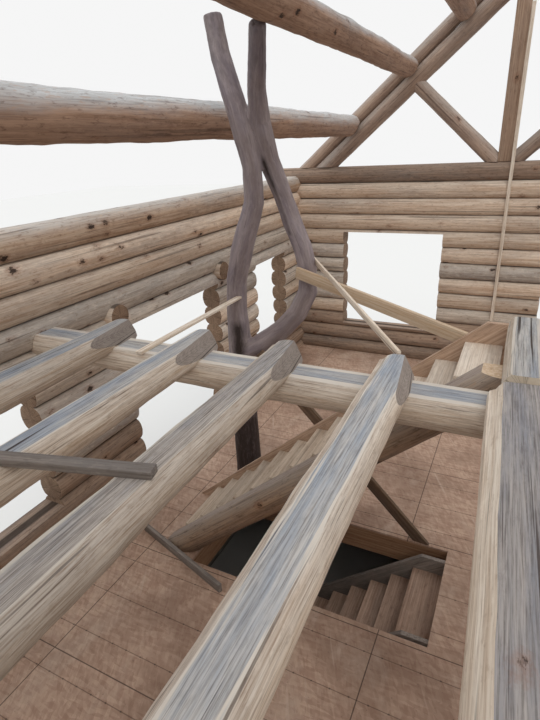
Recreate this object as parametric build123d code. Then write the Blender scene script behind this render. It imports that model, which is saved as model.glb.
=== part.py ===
"""Log cabin shell with a loft, two stair flights and a forked tree post.

Millimetres, +Z up, +Y along the cabin toward the far gable, +X to the right.
The origin is the middle of the cabin on the ground the walls stand on.
"""

import math
import os

from build123d import *

os.makedirs("parts", exist_ok=True)

# Storeys and plan
LOWER_RISER = 177.5
CELLAR_RISERS = 13
UPPER_RISER = 178.57
LOFT_RISERS = 14
DECK_TOP = LOWER_RISER * CELLAR_RISERS
LOFT_TOP = DECK_TOP + UPPER_RISER * LOFT_RISERS
ROOM_WIDTH = 6700.0
ROOM_LENGTH = 9200.0
SEAT = 0.3
REACH = 20000.0
LOG_SIDES = 16
SCALLOP_SIDES = 4
TAIL_SIDES = 3

# Wall logs
LOG_RADIUS = 145.0
COURSE = 263.0
WALL_HEIGHT = 3420.0
END_WALL_TOP = DECK_TOP + WALL_HEIGHT
SIDE_WALL_TOP = END_WALL_TOP - COURSE / 2
TAIL = 250.0
TOP_HEWN = 10.0
CREST = END_WALL_TOP - TOP_HEWN
WALL = 2 * LOG_RADIUS
HALF_X = ROOM_WIDTH / 2
HALF_Y = ROOM_LENGTH / 2
OUT_X = HALF_X + WALL
OUT_Y = HALF_Y + WALL
MID_X = HALF_X + LOG_RADIUS
MID_Y = HALF_Y + LOG_RADIUS

# Foundation and floor
DECK_THICK = 20.0
JOIST_DEPTH = 280.0
JOIST_THICK = 50.0
JOIST_PITCH = 400.0
FRAME_TOP = DECK_TOP - DECK_THICK
FRAME_FOOT = FRAME_TOP - JOIST_DEPTH
WELL_LEFT = -2154.0
WELL_RIGHT = 156.0
WELL_NEAR = -1170.0
WELL_FAR = -43.0

# Openings in the log walls
SILL_HEIGHT = 585.0
FAR_HEAD_HEIGHT = 2310.0
LOW_HEAD_HEIGHT = 2060.0
SILL = DECK_TOP + SILL_HEIGHT
FAR_HEAD = DECK_TOP + FAR_HEAD_HEIGHT
LOW_HEAD = DECK_TOP + LOW_HEAD_HEIGHT
WINDOW_IN = 784.0
WINDOW_OUT = 2510.0
NEAR_WINDOW = (-3273.0, -1543.0)
DOORWAY = (-303.0, 1627.0)
FAR_WINDOW = (2777.0, 3877.0)

# Cross logs beside the doorway heads
CROSS_RADIUS = 130.0
CROSS_COURSES = 4
CROSS_Z = END_WALL_TOP - LOG_RADIUS - CROSS_COURSES * COURSE
CROSS_INSET = 100.0
CROSS_IN = 60.0
CROSS_OUT = 300.0

# Loft
GIRDER_Y = -1288.0
GIRDER_RADIUS = 150.0
GIRDER_FLAT = 115.0
GIRDER_HEIGHT = 2370.0
GIRDER_TOP = DECK_TOP + GIRDER_HEIGHT
JOIST_END = -1073.0
LOFT_JOISTS = (-2534.0, -1714.0, -989.0, -194.0)
RIGHT_JOISTS = (2534.0, 1714.0, 1060.0)
JOIST_BUTT = 140.0
JOIST_TIP = 118.0
JOIST_FLAT = 80.0
JOIST_BEND = 15.0
SCARF_LENGTH = 480.0
SCARF_IN = 60.0
SCARF_TILT = 0.5

# Landing edge, a long near log and a thinner far log end to end over the girder
JOINT_Y = -1270.0
JOINT_GAP = 10.0
NEAR_LOG_X = (675.0, 526.0)
NEAR_LOG_RADII = (190.0, 166.0)
NEAR_LOG_FLATS = (130.0, 111.0)
FAR_LOG_X = (525.0, 512.0)
FAR_LOG_END_Y = -173.0
FAR_LOG_RADII = (122.0, 118.0)
FAR_LOG_FLATS = (78.0, 86.0)
FAR_LOG_RISE = 40.0
GIRDER_SPLIT = 70.0

# Upper flight
UPPER_GOING = 208.5
TREAD_THICK = 40.0
TREAD_LAP = 25.0
TOP_TREAD_GAP = 15.0
FLIGHT_TOP_X = 316.0
STRINGER_Y = -983.0
STRINGER_RADIUS = 140.0
STRINGER_HALF = 80.0
STRINGER_FACE = STRINGER_Y + STRINGER_HALF
STRINGER_DROP = 192.0
STRINGER_SPARE = 700.0
STRINGER_TOP_GAP = 60.0
BOARD_THICK = 40.0
BOARD_Y = -243.0
BOARD_OVER = 46.0
BOARD_DEPTH = 365.0
BOARD_TOP_GAP = 10.0
UPPER_PITCH = UPPER_RISER / UPPER_GOING

# Lower flight
LOWER_GOING = 212.0
TOP_TREAD_WIDE = 296.0
LOWER_OVER = 110.0
LOWER_DEPTH = 340.0
LOWER_HEEL = 280.0
LOWER_TOP_GAP = 10.0
LOWER_INSET = 40.0
LOWER_TREAD_GAP = 5.0
LOWER_PITCH = LOWER_RISER / LOWER_GOING

# Roof frame
APEX_HEIGHT = 5974.0
SEAM_HALF_SPAN = 3058.7
SEAM_APEX = DECK_TOP + APEX_HEIGHT
ROOF_RISE = (APEX_HEIGHT - WALL_HEIGHT) / SEAM_HALF_SPAN
UPPER_RADIUS = 105.0
LOWER_RADIUS = 130.0
SEAM_GAP = 4.0
POST_HALF = 95.0
STRUT_RADIUS = 110.0
STRUT_FOOT_DROP = 122.0
STRUT_RUN = 1517.0
PURLIN_X = (2404.0, 1489.0, 734.0)
PURLIN_RADII = (170.0, 163.0, 158.0)
PURLIN_RISE = 40.0
RIDGE_RADIUS = 150.0
RIDGE_RISE = 76.0
RIDGE_OVERHANG = 150.0
RIDGE_Z = SEAM_APEX + RIDGE_RISE
RIDGE_END = OUT_Y + RIDGE_OVERHANG

# Forked tree post, its knuckles as (right, beyond, up, radius) from the foot of the trunk
TREE_X = -2250.0
TREE_Y = 257.0
LIMB_SIDES = 12
TRUNK = (
    (0, 0, 0, 156),
    (0, 0, 700, 146),
    (10, 0, 1610, 136),
    (5, -10, 2200, 113),
    (40, -20, 2535, 104),
    (145, -50, 2860, 114),
    (340, -100, 3325, 97),
    (355, -130, 3635, 92),
    (250, -150, 4120, 98),
    (130, -160, 4540, 85),
    (85, -160, 4830, 80),
)
ARM = (
    (20, 0, 1680, 120),
    (260, 40, 1820, 120),
    (475, 80, 1995, 107),
    (665, 110, 2195, 104),
    (780, 120, 2435, 96),
    (785, 120, 2650, 92),
    (740, 110, 2870, 93),
    (635, 100, 3135, 92),
    (560, 80, 3370, 88),
    (450, 40, 3675, 95),
    (430, -80, 4015, 98),
    (500, -230, 4270, 82),
)
ARM_TIP_HEIGHT = 4640.0
ARM_TIP_SIDE = 70.0
ARM_TIP_DROP = 130.0
ARM_TIP_Y = -273.0
ARM_TIP_RADIUS = 66.0

# Temporary stays and boards
STAY_THICK = 40.0
STAY_WIDE = 110.0
LATH_WIDE = 50.0
LATH_THICK = 22.0
BITE = 3.0
LAID_BOARD = ((-1850.0, -3020.0), (-905.0, -2775.0))
LAID_WIDE = 70.0
FLOOR_BOARD_END = (-1680.0, -1383.0)
FLOOR_BOARD_SKEW = -0.318
FLOOR_BOARD_TALL = 90.0
WALL_GAP = 475.0
LATH_FOOT_HEIGHT = 900.0
LATH_HEAD_GAP = 500.0


def save(shape, name):
    """Write one node as a STEP file, such as far_king_post for Far King Post."""
    node = name.lower().replace(" ", "_")
    shape.label = node
    export_step(shape, "parts/" + node + ".step")


def group(solids):
    """Gather solids that share one node."""
    return Compound(children=list(solids))


def box(x0, x1, y0, y1, z0, z1):
    """A box given by its two corners."""
    middle = Location(((x0 + x1) / 2, (y0 + y1) / 2, (z0 + z1) / 2))
    return middle * Box(abs(x1 - x0), abs(y1 - y0), abs(z1 - z0))


def above(z):
    """All space over one level."""
    return box(-REACH, REACH, -REACH, REACH, z, z + REACH)


def below(z):
    """All space under one level."""
    return box(-REACH, REACH, -REACH, REACH, z - REACH, z)


def right_of(x):
    """All space to the right of one plane."""
    return box(x, x + REACH, -REACH, REACH, -REACH, REACH)


def before(y):
    """All space on the near side of one plane."""
    return box(-REACH, REACH, y - REACH, y, -REACH, REACH)


def beyond(y):
    """All space on the far side of one plane."""
    return box(-REACH, REACH, y, y + REACH, -REACH, REACH)


def best(shape):
    """The largest solid of a cut shape."""
    return shape.solids().sort_by(SortBy.VOLUME)[-1]


def log(start, end, butt, tip, sides=LOG_SIDES):
    """A log from start to end, hewn round in flats, tapering from butt to tip."""
    run = Vector(end) - Vector(start)
    if run.Y**2 + run.X**2 < 1:
        across = (1, 0, 0)
    else:
        across = (-run.Y, run.X, 0)
    first = Plane(origin=start, x_dir=across, z_dir=run)
    last = Plane(origin=end, x_dir=across, z_dir=run)
    turn = 180 / sides
    sections = [first * RegularPolygon(butt, sides, rotation=turn),
                last * RegularPolygon(tip, sides, rotation=turn)]
    return loft(sections, ruled=True)


def stack_face(bottom, top, wall_top, sides):
    """Section of stacked round logs between two levels, across the wall."""
    centre = wall_top - LOG_RADIUS
    crest = wall_top - TOP_HEWN
    seam = crest
    outline = []
    while centre + COURSE / 2 > bottom:
        low = max(centre - COURSE / 2, bottom)
        high = min(seam, top)
        if high - low > 5:
            start = math.asin((high - centre) / LOG_RADIUS)
            finish = math.asin((low - centre) / LOG_RADIUS)
            for k in range(sides + 1):
                angle = start + (finish - start) * k / sides
                point = (LOG_RADIUS * math.cos(angle), centre + LOG_RADIUS * math.sin(angle))
                if not outline or math.dist(outline[-1], point) > 0.5:
                    outline.append(point)
        centre -= COURSE
        seam = centre + COURSE / 2
    mirrored = [(-u, z) for u, z in reversed(outline)]
    return make_face(Polyline(*outline, *mirrored, close=True))


def end_run(x0, x1, y, bottom, top, sides=SCALLOP_SIDES):
    """Stacked logs of an end wall, running along X."""
    plane = Plane(origin=(x0, y, 0), x_dir=(0, 1, 0), z_dir=(1, 0, 0))
    return extrude(plane * stack_face(bottom, top, END_WALL_TOP, sides), x1 - x0)


def side_run(y0, y1, x, bottom, top, sides=SCALLOP_SIDES):
    """Stacked logs of a side wall, running along Y."""
    plane = Plane(origin=(x, y1, 0), x_dir=(1, 0, 0), z_dir=(0, -1, 0))
    return extrude(plane * stack_face(bottom, top, SIDE_WALL_TOP, sides), y1 - y0)


def flat_topped(start, end, butt, tip, top, flat_butt, flat_tip, grow=0.0):
    """A log whose top is hewn flat at one level along its whole length."""
    drop_butt = math.sqrt(butt**2 - flat_butt**2)
    drop_tip = math.sqrt(tip**2 - flat_tip**2)
    first = (start[0], start[1], top - drop_butt)
    last = (end[0], end[1], top - drop_tip)
    body = log(first, last, butt + grow, tip + grow)
    return body - above(top + grow)


def loft_joist(x, grow=0.0):
    """One loft joist, from its pocket in the near wall to past the girder."""
    start = (x + JOIST_BEND, -MID_Y)
    end = (x - JOIST_BEND, JOIST_END)
    return flat_topped(start, end, JOIST_BUTT, JOIST_TIP, LOFT_TOP, JOIST_FLAT, JOIST_FLAT, grow)


def scarf(x):
    """The space beside a joist's far end, which is hewn off at a slant."""
    corner = (x - JOIST_BEND + JOIST_FLAT, JOIST_END - SCARF_LENGTH, LOFT_TOP)
    plane = Plane(origin=corner, z_dir=(1, SCARF_IN / SCARF_LENGTH, SCARF_TILT))
    half = 1.5 * SCARF_LENGTH
    return extrude(plane * Rectangle(2 * half, 2 * half), half)


def near_landing_log(grow=0.0):
    """The large log along the landing, from the near wall to the girder."""
    return flat_topped((NEAR_LOG_X[0], -MID_Y), (NEAR_LOG_X[1], JOINT_Y), *NEAR_LOG_RADII,
                       LOFT_TOP, *NEAR_LOG_FLATS, grow)


def far_landing_log(grow=0.0):
    """The thinner log from the girder to the head of the stairs, standing a little higher."""
    return flat_topped((FAR_LOG_X[0], JOINT_Y + JOINT_GAP), (FAR_LOG_X[1], FAR_LOG_END_Y),
                       *FAR_LOG_RADII, LOFT_TOP + FAR_LOG_RISE, *FAR_LOG_FLATS, grow)


def girder(x0, x1, grow=0.0):
    """Cross log under the loft joists, hewn flat on top."""
    return flat_topped((x0, GIRDER_Y), (x1, GIRDER_Y), GIRDER_RADIUS, GIRDER_RADIUS,
                       GIRDER_TOP, GIRDER_FLAT, GIRDER_FLAT, grow)


def seam_z(x):
    """Height of the line between upper and lower rafters."""
    return SEAM_APEX - ROOF_RISE * abs(x)


def mirror_x(shape):
    """The same shape on the other side of the cabin's middle plane."""
    return mirror(shape, about=Plane.YZ)


# Foundation walls
foundation = [
    box(-OUT_X, -HALF_X, -OUT_Y, OUT_Y, 0, FRAME_FOOT),
    box(HALF_X, OUT_X, -OUT_Y, OUT_Y, 0, FRAME_FOOT),
]
foundation_ends = [
    box(-HALF_X, HALF_X, -OUT_Y, -HALF_Y, 0, FRAME_FOOT),
    box(-HALF_X, HALF_X, HALF_Y, OUT_Y, 0, FRAME_FOOT),
]
save(group(foundation), "Foundation Side Walls")
save(group(foundation_ends), "Foundation End Walls")

# Floor framing, with the joists headed off at the stairwell
joists = [
    box(-OUT_X, -OUT_X + JOIST_THICK, -OUT_Y, OUT_Y, FRAME_FOOT, FRAME_TOP),
    box(OUT_X - JOIST_THICK, OUT_X, -OUT_Y, OUT_Y, FRAME_FOOT, FRAME_TOP),
]
JOIST_X = OUT_X - JOIST_THICK
headers = [
    box(WELL_LEFT - JOIST_THICK, WELL_LEFT, WELL_NEAR, WELL_FAR, FRAME_FOOT, FRAME_TOP),
    box(WELL_RIGHT, WELL_RIGHT + JOIST_THICK, WELL_NEAR, WELL_FAR, FRAME_FOOT, FRAME_TOP),
]
trimmers = [WELL_NEAR - JOIST_THICK, WELL_FAR]
steps = int((OUT_Y + trimmers[0]) / JOIST_PITCH)
near_rows = [trimmers[0] - k * JOIST_PITCH for k in range(steps)] + [-OUT_Y]
far_steps = int((OUT_Y - trimmers[1] - JOIST_THICK) / JOIST_PITCH)
far_rows = [trimmers[1] + k * JOIST_PITCH for k in range(far_steps)] + [OUT_Y - JOIST_THICK]
for y in near_rows + far_rows:
    joists.append(box(-JOIST_X, JOIST_X, y, y + JOIST_THICK, FRAME_FOOT, FRAME_TOP))
for y in (WELL_NEAR + 350, WELL_NEAR + 730):
    joists.append(box(-JOIST_X, WELL_LEFT - JOIST_THICK, y, y + JOIST_THICK, FRAME_FOOT, FRAME_TOP))
    joists.append(box(WELL_RIGHT + JOIST_THICK, JOIST_X, y, y + JOIST_THICK, FRAME_FOOT, FRAME_TOP))
save(group(joists), "Floor Joists")
save(group(headers), "Stairwell Headers")

# Floor deck in three bays around the stairwell
save(box(-OUT_X, OUT_X, -OUT_Y, WELL_NEAR, FRAME_TOP, DECK_TOP), "Near Floor Deck")
save(box(-OUT_X, OUT_X, WELL_FAR, OUT_Y, FRAME_TOP, DECK_TOP), "Far Floor Deck")
middle_deck = [
    box(-OUT_X, WELL_LEFT, WELL_NEAR, WELL_FAR, FRAME_TOP, DECK_TOP),
    box(WELL_RIGHT, OUT_X, WELL_NEAR, WELL_FAR, FRAME_TOP, DECK_TOP),
]
save(group(middle_deck), "Stairwell Floor Deck")

# Log walls
for name, side, head in (("Far", 1, FAR_HEAD), ("Near", -1, LOW_HEAD)):
    y = side * MID_Y
    save(end_run(-HALF_X, HALF_X, y, DECK_TOP, SILL), name + " Wall Lower Logs")
    piers = [
        end_run(-HALF_X, -WINDOW_OUT, y, SILL, head),
        end_run(-WINDOW_IN, WINDOW_IN, y, SILL, head),
        end_run(WINDOW_OUT, HALF_X, y, SILL, head),
    ]
    save(group(piers), name + " Wall Window Piers")
    upper = end_run(-HALF_X, HALF_X, y, head, END_WALL_TOP)
    if side < 0:
        for x in LOFT_JOISTS:
            upper -= loft_joist(x, SEAT)
        for x in RIGHT_JOISTS:
            upper -= mirror_x(loft_joist(-x, SEAT))
        upper -= near_landing_log(SEAT)
    save(upper, name + " Wall Upper Logs")

cross_logs = []
for name, side in (("Left", -1), ("Right", 1)):
    x = side * MID_X
    lower = [
        side_run(-HALF_Y, DOORWAY[0], x, DECK_TOP, SILL),
        side_run(DOORWAY[1], HALF_Y, x, DECK_TOP, SILL),
    ]
    save(group(lower), name + " Wall Lower Logs")
    piers = [
        side_run(-HALF_Y, NEAR_WINDOW[0], x, SILL, LOW_HEAD),
        side_run(NEAR_WINDOW[1], DOORWAY[0], x, SILL, LOW_HEAD),
        side_run(DOORWAY[1], FAR_WINDOW[0], x, SILL, LOW_HEAD),
        side_run(FAR_WINDOW[1], HALF_Y, x, SILL, LOW_HEAD),
    ]
    save(group(piers), name + " Wall Opening Piers")
    upper = side_run(-HALF_Y, HALF_Y, x, LOW_HEAD, SIDE_WALL_TOP)
    for y in (DOORWAY[0] - CROSS_INSET, DOORWAY[1] + CROSS_INSET):
        inner = (side * (HALF_X - CROSS_IN), y, CROSS_Z)
        outside = (side * (OUT_X + CROSS_OUT), y, CROSS_Z)
        upper -= log(inner, outside, CROSS_RADIUS + SEAT, CROSS_RADIUS + SEAT)
        cross_logs.append(log(inner, outside, CROSS_RADIUS, CROSS_RADIUS))
    upper -= girder(-MID_X, MID_X, SEAT)
    save(upper, name + " Wall Upper Logs")
save(group(cross_logs), "Doorway Cross Logs")

# Corners where the wall logs cross, and the log tails past them
corners = []
tails = []
for sx in (-1, 1):
    for sy in (-1, 1):
        corners.append(box(sx * HALF_X, sx * OUT_X, sy * HALF_Y, sy * OUT_Y,
                           DECK_TOP, CREST))
        x0, x1 = sorted((sx * OUT_X, sx * (OUT_X + TAIL)))
        y0, y1 = sorted((sy * OUT_Y, sy * (OUT_Y + TAIL)))
        tails.append(end_run(x0, x1, sy * MID_Y, DECK_TOP, END_WALL_TOP, TAIL_SIDES))
        tails.append(side_run(y0, y1, sx * MID_X, DECK_TOP, SIDE_WALL_TOP, TAIL_SIDES))
save(group(corners), "Notched Corner Stacks")
save(group(tails), "Crossed Log Tails")

# Loft
landing_logs = [near_landing_log(), far_landing_log()]
landing_tools = [near_landing_log(SEAT), far_landing_log(SEAT)]
far_tool = landing_tools[1]
girders = [
    girder(-MID_X, FAR_LOG_X[0] - GIRDER_SPLIT) - landing_tools[0] - far_tool,
    girder(FAR_LOG_X[0] + GIRDER_SPLIT, MID_X) - landing_tools[0] - far_tool,
]
girder_tool = girder(-MID_X, MID_X, SEAT)
left_joists = [loft_joist(x) - girder_tool - scarf(x) for x in LOFT_JOISTS]
right_joists = [mirror_x(loft_joist(-x) - girder_tool - scarf(-x)) for x in RIGHT_JOISTS]
save(group([best(piece) for piece in girders]), "Loft Girders")
save(group(left_joists), "Left Loft Joists")
save(group(right_joists), "Right Loft Joists")
save(group(landing_logs), "Landing Edge Beam")

# Upper flight
foot_x = FLIGHT_TOP_X - (LOFT_RISERS - 1) * UPPER_GOING


def nosing_z(x):
    """Height of the line through the tread noses of the upper flight."""
    return DECK_TOP + UPPER_RISER + UPPER_PITCH * (x - foot_x)


def pitch_point(x):
    """A point of the log stringer's axis."""
    return (x, STRINGER_Y, nosing_z(x) - STRINGER_DROP)


near_log = log(pitch_point(foot_x - STRINGER_SPARE), pitch_point(FLIGHT_TOP_X + STRINGER_SPARE),
               STRINGER_RADIUS, STRINGER_RADIUS)
near_log -= beyond(STRINGER_FACE)
near_log -= below(DECK_TOP)
near_log -= above(LOFT_TOP - STRINGER_TOP_GAP)
near_log -= far_tool
near_log -= right_of(FAR_LOG_X[1])
save(best(near_log), "Upper Flight Log Stringer")

board_face = BOARD_Y + BOARD_THICK
line_foot = foot_x - (UPPER_RISER + BOARD_OVER) / UPPER_PITCH
level_top = LOFT_TOP - BOARD_TOP_GAP
level_x = line_foot + (level_top - DECK_TOP) / UPPER_PITCH
far_side = Polyline(
    (line_foot, DECK_TOP),
    (level_x, level_top),
    (FAR_LOG_X[1], level_top),
    (FAR_LOG_X[1], level_top - BOARD_DEPTH),
    (level_x, level_top - BOARD_DEPTH),
    (line_foot + BOARD_DEPTH / UPPER_PITCH, DECK_TOP),
    close=True,
)
plane = Plane(origin=(0, board_face, 0), x_dir=(1, 0, 0), z_dir=(0, -1, 0))
far_board = extrude(plane * make_face(far_side), BOARD_THICK) - far_tool
save(best(far_board), "Upper Flight Side Board")

top_tread_end = FAR_LOG_X[1] - FAR_LOG_RADII[1] - TOP_TREAD_GAP
treads = []
for k in range(LOFT_RISERS - 1):
    x = foot_x + k * UPPER_GOING
    z = DECK_TOP + (k + 1) * UPPER_RISER
    if k < LOFT_RISERS - 2:
        end = x + UPPER_GOING + TREAD_LAP
    else:
        end = top_tread_end
    treads.append(box(x, end, STRINGER_FACE, BOARD_Y, z - TREAD_THICK, z))
save(group(treads), "Upper Flight Treads")

# Lower flight, its top tread wider than the others
lower_near = WELL_NEAR + LOWER_INSET
lower_far = board_face
down = []
for k in range(1, CELLAR_RISERS):
    x = WELL_RIGHT - TOP_TREAD_WIDE - (k - 1) * LOWER_GOING
    z = DECK_TOP - k * LOWER_RISER
    wide = TOP_TREAD_WIDE if k == 1 else LOWER_GOING
    down.append(box(x, x + wide - LOWER_TREAD_GAP, lower_near + BOARD_THICK, lower_far,
                    z - TREAD_THICK, z))
save(group(down), "Lower Flight Treads")


def lower_line_x(z, shift):
    """Where a line along the lower flight, shifted up from its noses, is at one height."""
    deck_x = WELL_RIGHT - TOP_TREAD_WIDE + LOWER_GOING
    return deck_x + (z - DECK_TOP - shift) / LOWER_PITCH


lower_top = DECK_TOP - LOWER_TOP_GAP
lower_heel = lower_top - LOWER_HEEL
lower_under = LOWER_OVER - LOWER_DEPTH
stringer_side = Polyline(
    (WELL_RIGHT, lower_top),
    (WELL_RIGHT, lower_heel),
    (lower_line_x(lower_heel, lower_under), lower_heel),
    (lower_line_x(0, lower_under), 0),
    (lower_line_x(0, LOWER_OVER), 0),
    (lower_line_x(lower_top, LOWER_OVER), lower_top),
    close=True,
)
stringers = []
for y in (lower_near, lower_far):
    plane = Plane(origin=(0, y + BOARD_THICK, 0), x_dir=(1, 0, 0), z_dir=(0, -1, 0))
    stringers.append(extrude(plane * make_face(stringer_side), BOARD_THICK))
save(group(stringers), "Lower Flight Stringers")

# Purlins and ridge
left_purlins = []
for x, radius in zip(PURLIN_X, PURLIN_RADII):
    z = seam_z(x) + PURLIN_RISE
    left_purlins.append(log((-x, -MID_Y, z), (-x, MID_Y, z), radius, radius))
right_purlins = [mirror_x(purlin) for purlin in left_purlins]
ridge = log((0, -RIDGE_END, RIDGE_Z), (0, RIDGE_END, RIDGE_Z), RIDGE_RADIUS, RIDGE_RADIUS)
save(ridge, "Ridge Log")


# Gable trusses
def rafter(y, offset, radius):
    """The left rafter of a gable at a square distance from the seam line."""
    tilt = math.atan(ROOF_RISE)
    shift = (-offset * math.sin(tilt), offset * math.cos(tilt))
    x0 = -OUT_X - 2 * radius
    x1 = 2 * radius
    start = (x0 + shift[0], y, SEAM_APEX + ROOF_RISE * x0 + shift[1])
    end = (x1 + shift[0], y, SEAM_APEX + ROOF_RISE * x1 + shift[1])
    return log(start, end, radius, radius) - below(CREST) - right_of(-POST_HALF)


purlin_tools = []
for x, radius in zip(PURLIN_X, PURLIN_RADII):
    z = seam_z(x) + PURLIN_RISE
    purlin_tools.append(log((-x, -MID_Y - SEAT, z), (-x, MID_Y + SEAT, z), radius + SEAT, radius + SEAT))
ridge_tool = log((0, -RIDGE_END, RIDGE_Z), (0, RIDGE_END, RIDGE_Z), RIDGE_RADIUS + SEAT,
                 RIDGE_RADIUS + SEAT)
for name, side in (("Far", 1), ("Near", -1)):
    y = side * MID_Y
    upper = rafter(y, UPPER_RADIUS + SEAM_GAP / 2, UPPER_RADIUS)
    lower = rafter(y, -LOWER_RADIUS - SEAM_GAP / 2, LOWER_RADIUS)
    for tool in purlin_tools + [ridge_tool]:
        upper -= tool
        lower -= tool
    upper = best(upper)
    lower = best(lower)
    save(group([upper, lower, mirror_x(upper), mirror_x(lower)]), name + " Truss Rafters")
    post = box(-POST_HALF, POST_HALF, y - POST_HALF, y + POST_HALF, CREST, RIDGE_Z)
    save(best(post - ridge_tool), name + " King Post")
    strut = log((0, y, END_WALL_TOP - STRUT_FOOT_DROP), (-STRUT_RUN, y, seam_z(STRUT_RUN)),
                STRUT_RADIUS, STRUT_RADIUS)
    strut -= right_of(-POST_HALF)
    strut -= below(CREST)
    strut -= rafter(y, -LOWER_RADIUS - SEAM_GAP / 2, LOWER_RADIUS + SEAT)
    strut = strut.solids().sort_by(Axis.Z)[0]
    save(group([strut, mirror_x(strut)]), name + " Truss Struts")
save(group(left_purlins), "Left Purlins")
save(group(right_purlins), "Right Purlins")


# Forked tree post
def limb(knuckles, grow=0.0):
    """A crooked limb through its knuckles, each (x, y, z, radius)."""
    points = [Vector(x, y, z) for x, y, z, radius in knuckles]
    sections = []
    for k, point in enumerate(points):
        run = points[min(k + 1, len(points) - 1)] - points[max(k - 1, 0)]
        plane = Plane(origin=point, x_dir=(0, 1, 0), z_dir=run)
        sections.append(plane * RegularPolygon(knuckles[k][3] + grow, LIMB_SIDES))
    return loft(sections, ruled=True)


arm_tip_z = seam_z(PURLIN_X[1]) + PURLIN_RISE - ARM_TIP_DROP
arm_tip = (-PURLIN_X[1] - ARM_TIP_SIDE, ARM_TIP_Y, arm_tip_z, ARM_TIP_RADIUS)
stretch = (arm_tip_z - DECK_TOP) / ARM_TIP_HEIGHT


def planted(knuckles):
    """Knuckles given from the trunk's foot, set in the cabin under its purlin."""
    return [(TREE_X + x, TREE_Y + y, DECK_TOP + z * stretch, radius) for x, y, z, radius in knuckles]


trunk_knuckles = planted(TRUNK)
arm_knuckles = planted(ARM) + [arm_tip]
arm = limb(arm_knuckles) - purlin_tools[1]
save(limb(trunk_knuckles) + best(arm), "Forked Tree Post")


# Temporary stays and boards
def board(start, end, wide, thick, face):
    """A board from start to end, its broad sides turned to the direction given."""
    run = Vector(end) - Vector(start)
    plane = Plane(origin=start, x_dir=face, z_dir=run)
    return extrude(plane * Rectangle(thick, wide), run.length)


grown_trunk = limb(trunk_knuckles, SEAT)
grown_arm = limb(arm_knuckles, SEAT)

hold = arm_knuckles[5]
beside_arm = hold[1] - hold[3] - STAY_THICK / 2 + BITE
level_stay = board((hold[0] - 75, beside_arm, hold[2]),
                   (level_x - 145, board_face + 15, level_top - 170),
                   STAY_WIDE, STAY_THICK, (0.27, 1, 0))
level_stay -= grown_arm
level_stay -= before(board_face + SEAT)

joist_tip = (LOFT_JOISTS[3] - JOIST_BEND + 5, JOIST_END - 30, LOFT_TOP - 10)
thin_stay = board((hold[0] + 20, hold[1] + 95, hold[2] + 95), joist_tip,
                  LATH_WIDE, LATH_THICK, (0.778, 0.628, 0))
thin_stay -= grown_arm
thin_stay -= before(JOIST_END + SEAT)

front = trunk_knuckles[4]
girder_stay = box(front[0] + 35, front[0] + 95, GIRDER_Y - GIRDER_RADIUS, front[1] - front[3] + 15,
                  GIRDER_TOP, GIRDER_TOP + LATH_THICK)
girder_stay -= grown_trunk

root = arm_knuckles[1]
beside_root = root[1] - root[3] - STAY_THICK / 2 + BITE
floor_stay = board((root[0] - 70, beside_root, root[2] + 65),
                   (WELL_RIGHT - 200, WELL_FAR + STAY_THICK / 2, DECK_TOP - 60),
                   STAY_WIDE, STAY_THICK, (0, 1, 0))
floor_stay -= grown_arm
floor_stay -= grown_trunk
floor_stay -= below(DECK_TOP)
save(group([best(s) for s in (level_stay, thin_stay, girder_stay, floor_stay)]), "Tree Post Stays")

lath_x = POST_HALF + LATH_WIDE / 2 + 2
lath_head = RIDGE_Z - RIDGE_RADIUS - LATH_HEAD_GAP
lath = box(lath_x - LATH_WIDE / 2, lath_x + LATH_WIDE / 2, HALF_Y - SEAT - LATH_THICK, HALF_Y - SEAT,
           DECK_TOP + LATH_FOOT_HEIGHT, lath_head)
save(lath, "King Post Lath")

laid_board = board(*[(x, y, LOFT_TOP + STAY_THICK / 2) for x, y in LAID_BOARD],
                   LAID_WIDE, STAY_THICK, (0, 0, 1))
board_x = WALL_GAP - HALF_X
board_y = FLOOR_BOARD_END[1] + FLOOR_BOARD_SKEW * (board_x - FLOOR_BOARD_END[0])
board_z = DECK_TOP + FLOOR_BOARD_TALL / 2
floor_board = board((board_x, board_y, board_z), (*FLOOR_BOARD_END, board_z),
                    FLOOR_BOARD_TALL, STAY_THICK, (-FLOOR_BOARD_SKEW, 1, 0))
save(group([laid_board, floor_board]), "Loose Boards")
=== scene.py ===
"""Looks of an open log cabin shell: peeled log walls, gable trusses, purlins, a part loft of hewn
joists, two stair flights and a forked tree post. Everything is in metres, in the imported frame."""

import logging
import math
import random
from dataclasses import dataclass, field
from enum import Enum

import bmesh
import bpy
from mathutils import Matrix, Vector


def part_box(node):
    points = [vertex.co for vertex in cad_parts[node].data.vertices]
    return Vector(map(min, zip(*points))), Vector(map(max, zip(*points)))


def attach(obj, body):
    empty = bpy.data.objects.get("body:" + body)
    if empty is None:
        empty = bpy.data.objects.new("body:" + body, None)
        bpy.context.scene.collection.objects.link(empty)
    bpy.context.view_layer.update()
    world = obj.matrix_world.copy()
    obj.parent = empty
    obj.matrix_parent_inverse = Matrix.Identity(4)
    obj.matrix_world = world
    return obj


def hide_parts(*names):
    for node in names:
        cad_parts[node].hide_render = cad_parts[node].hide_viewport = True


LOG = logging.getLogger("log_cabin")
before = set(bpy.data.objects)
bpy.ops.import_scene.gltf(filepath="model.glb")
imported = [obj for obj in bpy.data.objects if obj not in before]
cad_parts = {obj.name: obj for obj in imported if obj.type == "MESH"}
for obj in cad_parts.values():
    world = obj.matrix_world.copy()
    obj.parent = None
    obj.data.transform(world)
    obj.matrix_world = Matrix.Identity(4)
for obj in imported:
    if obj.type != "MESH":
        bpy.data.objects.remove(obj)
UP = Vector((0, 0, 1))
DOWN = Vector((0, 0, -1))

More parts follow.
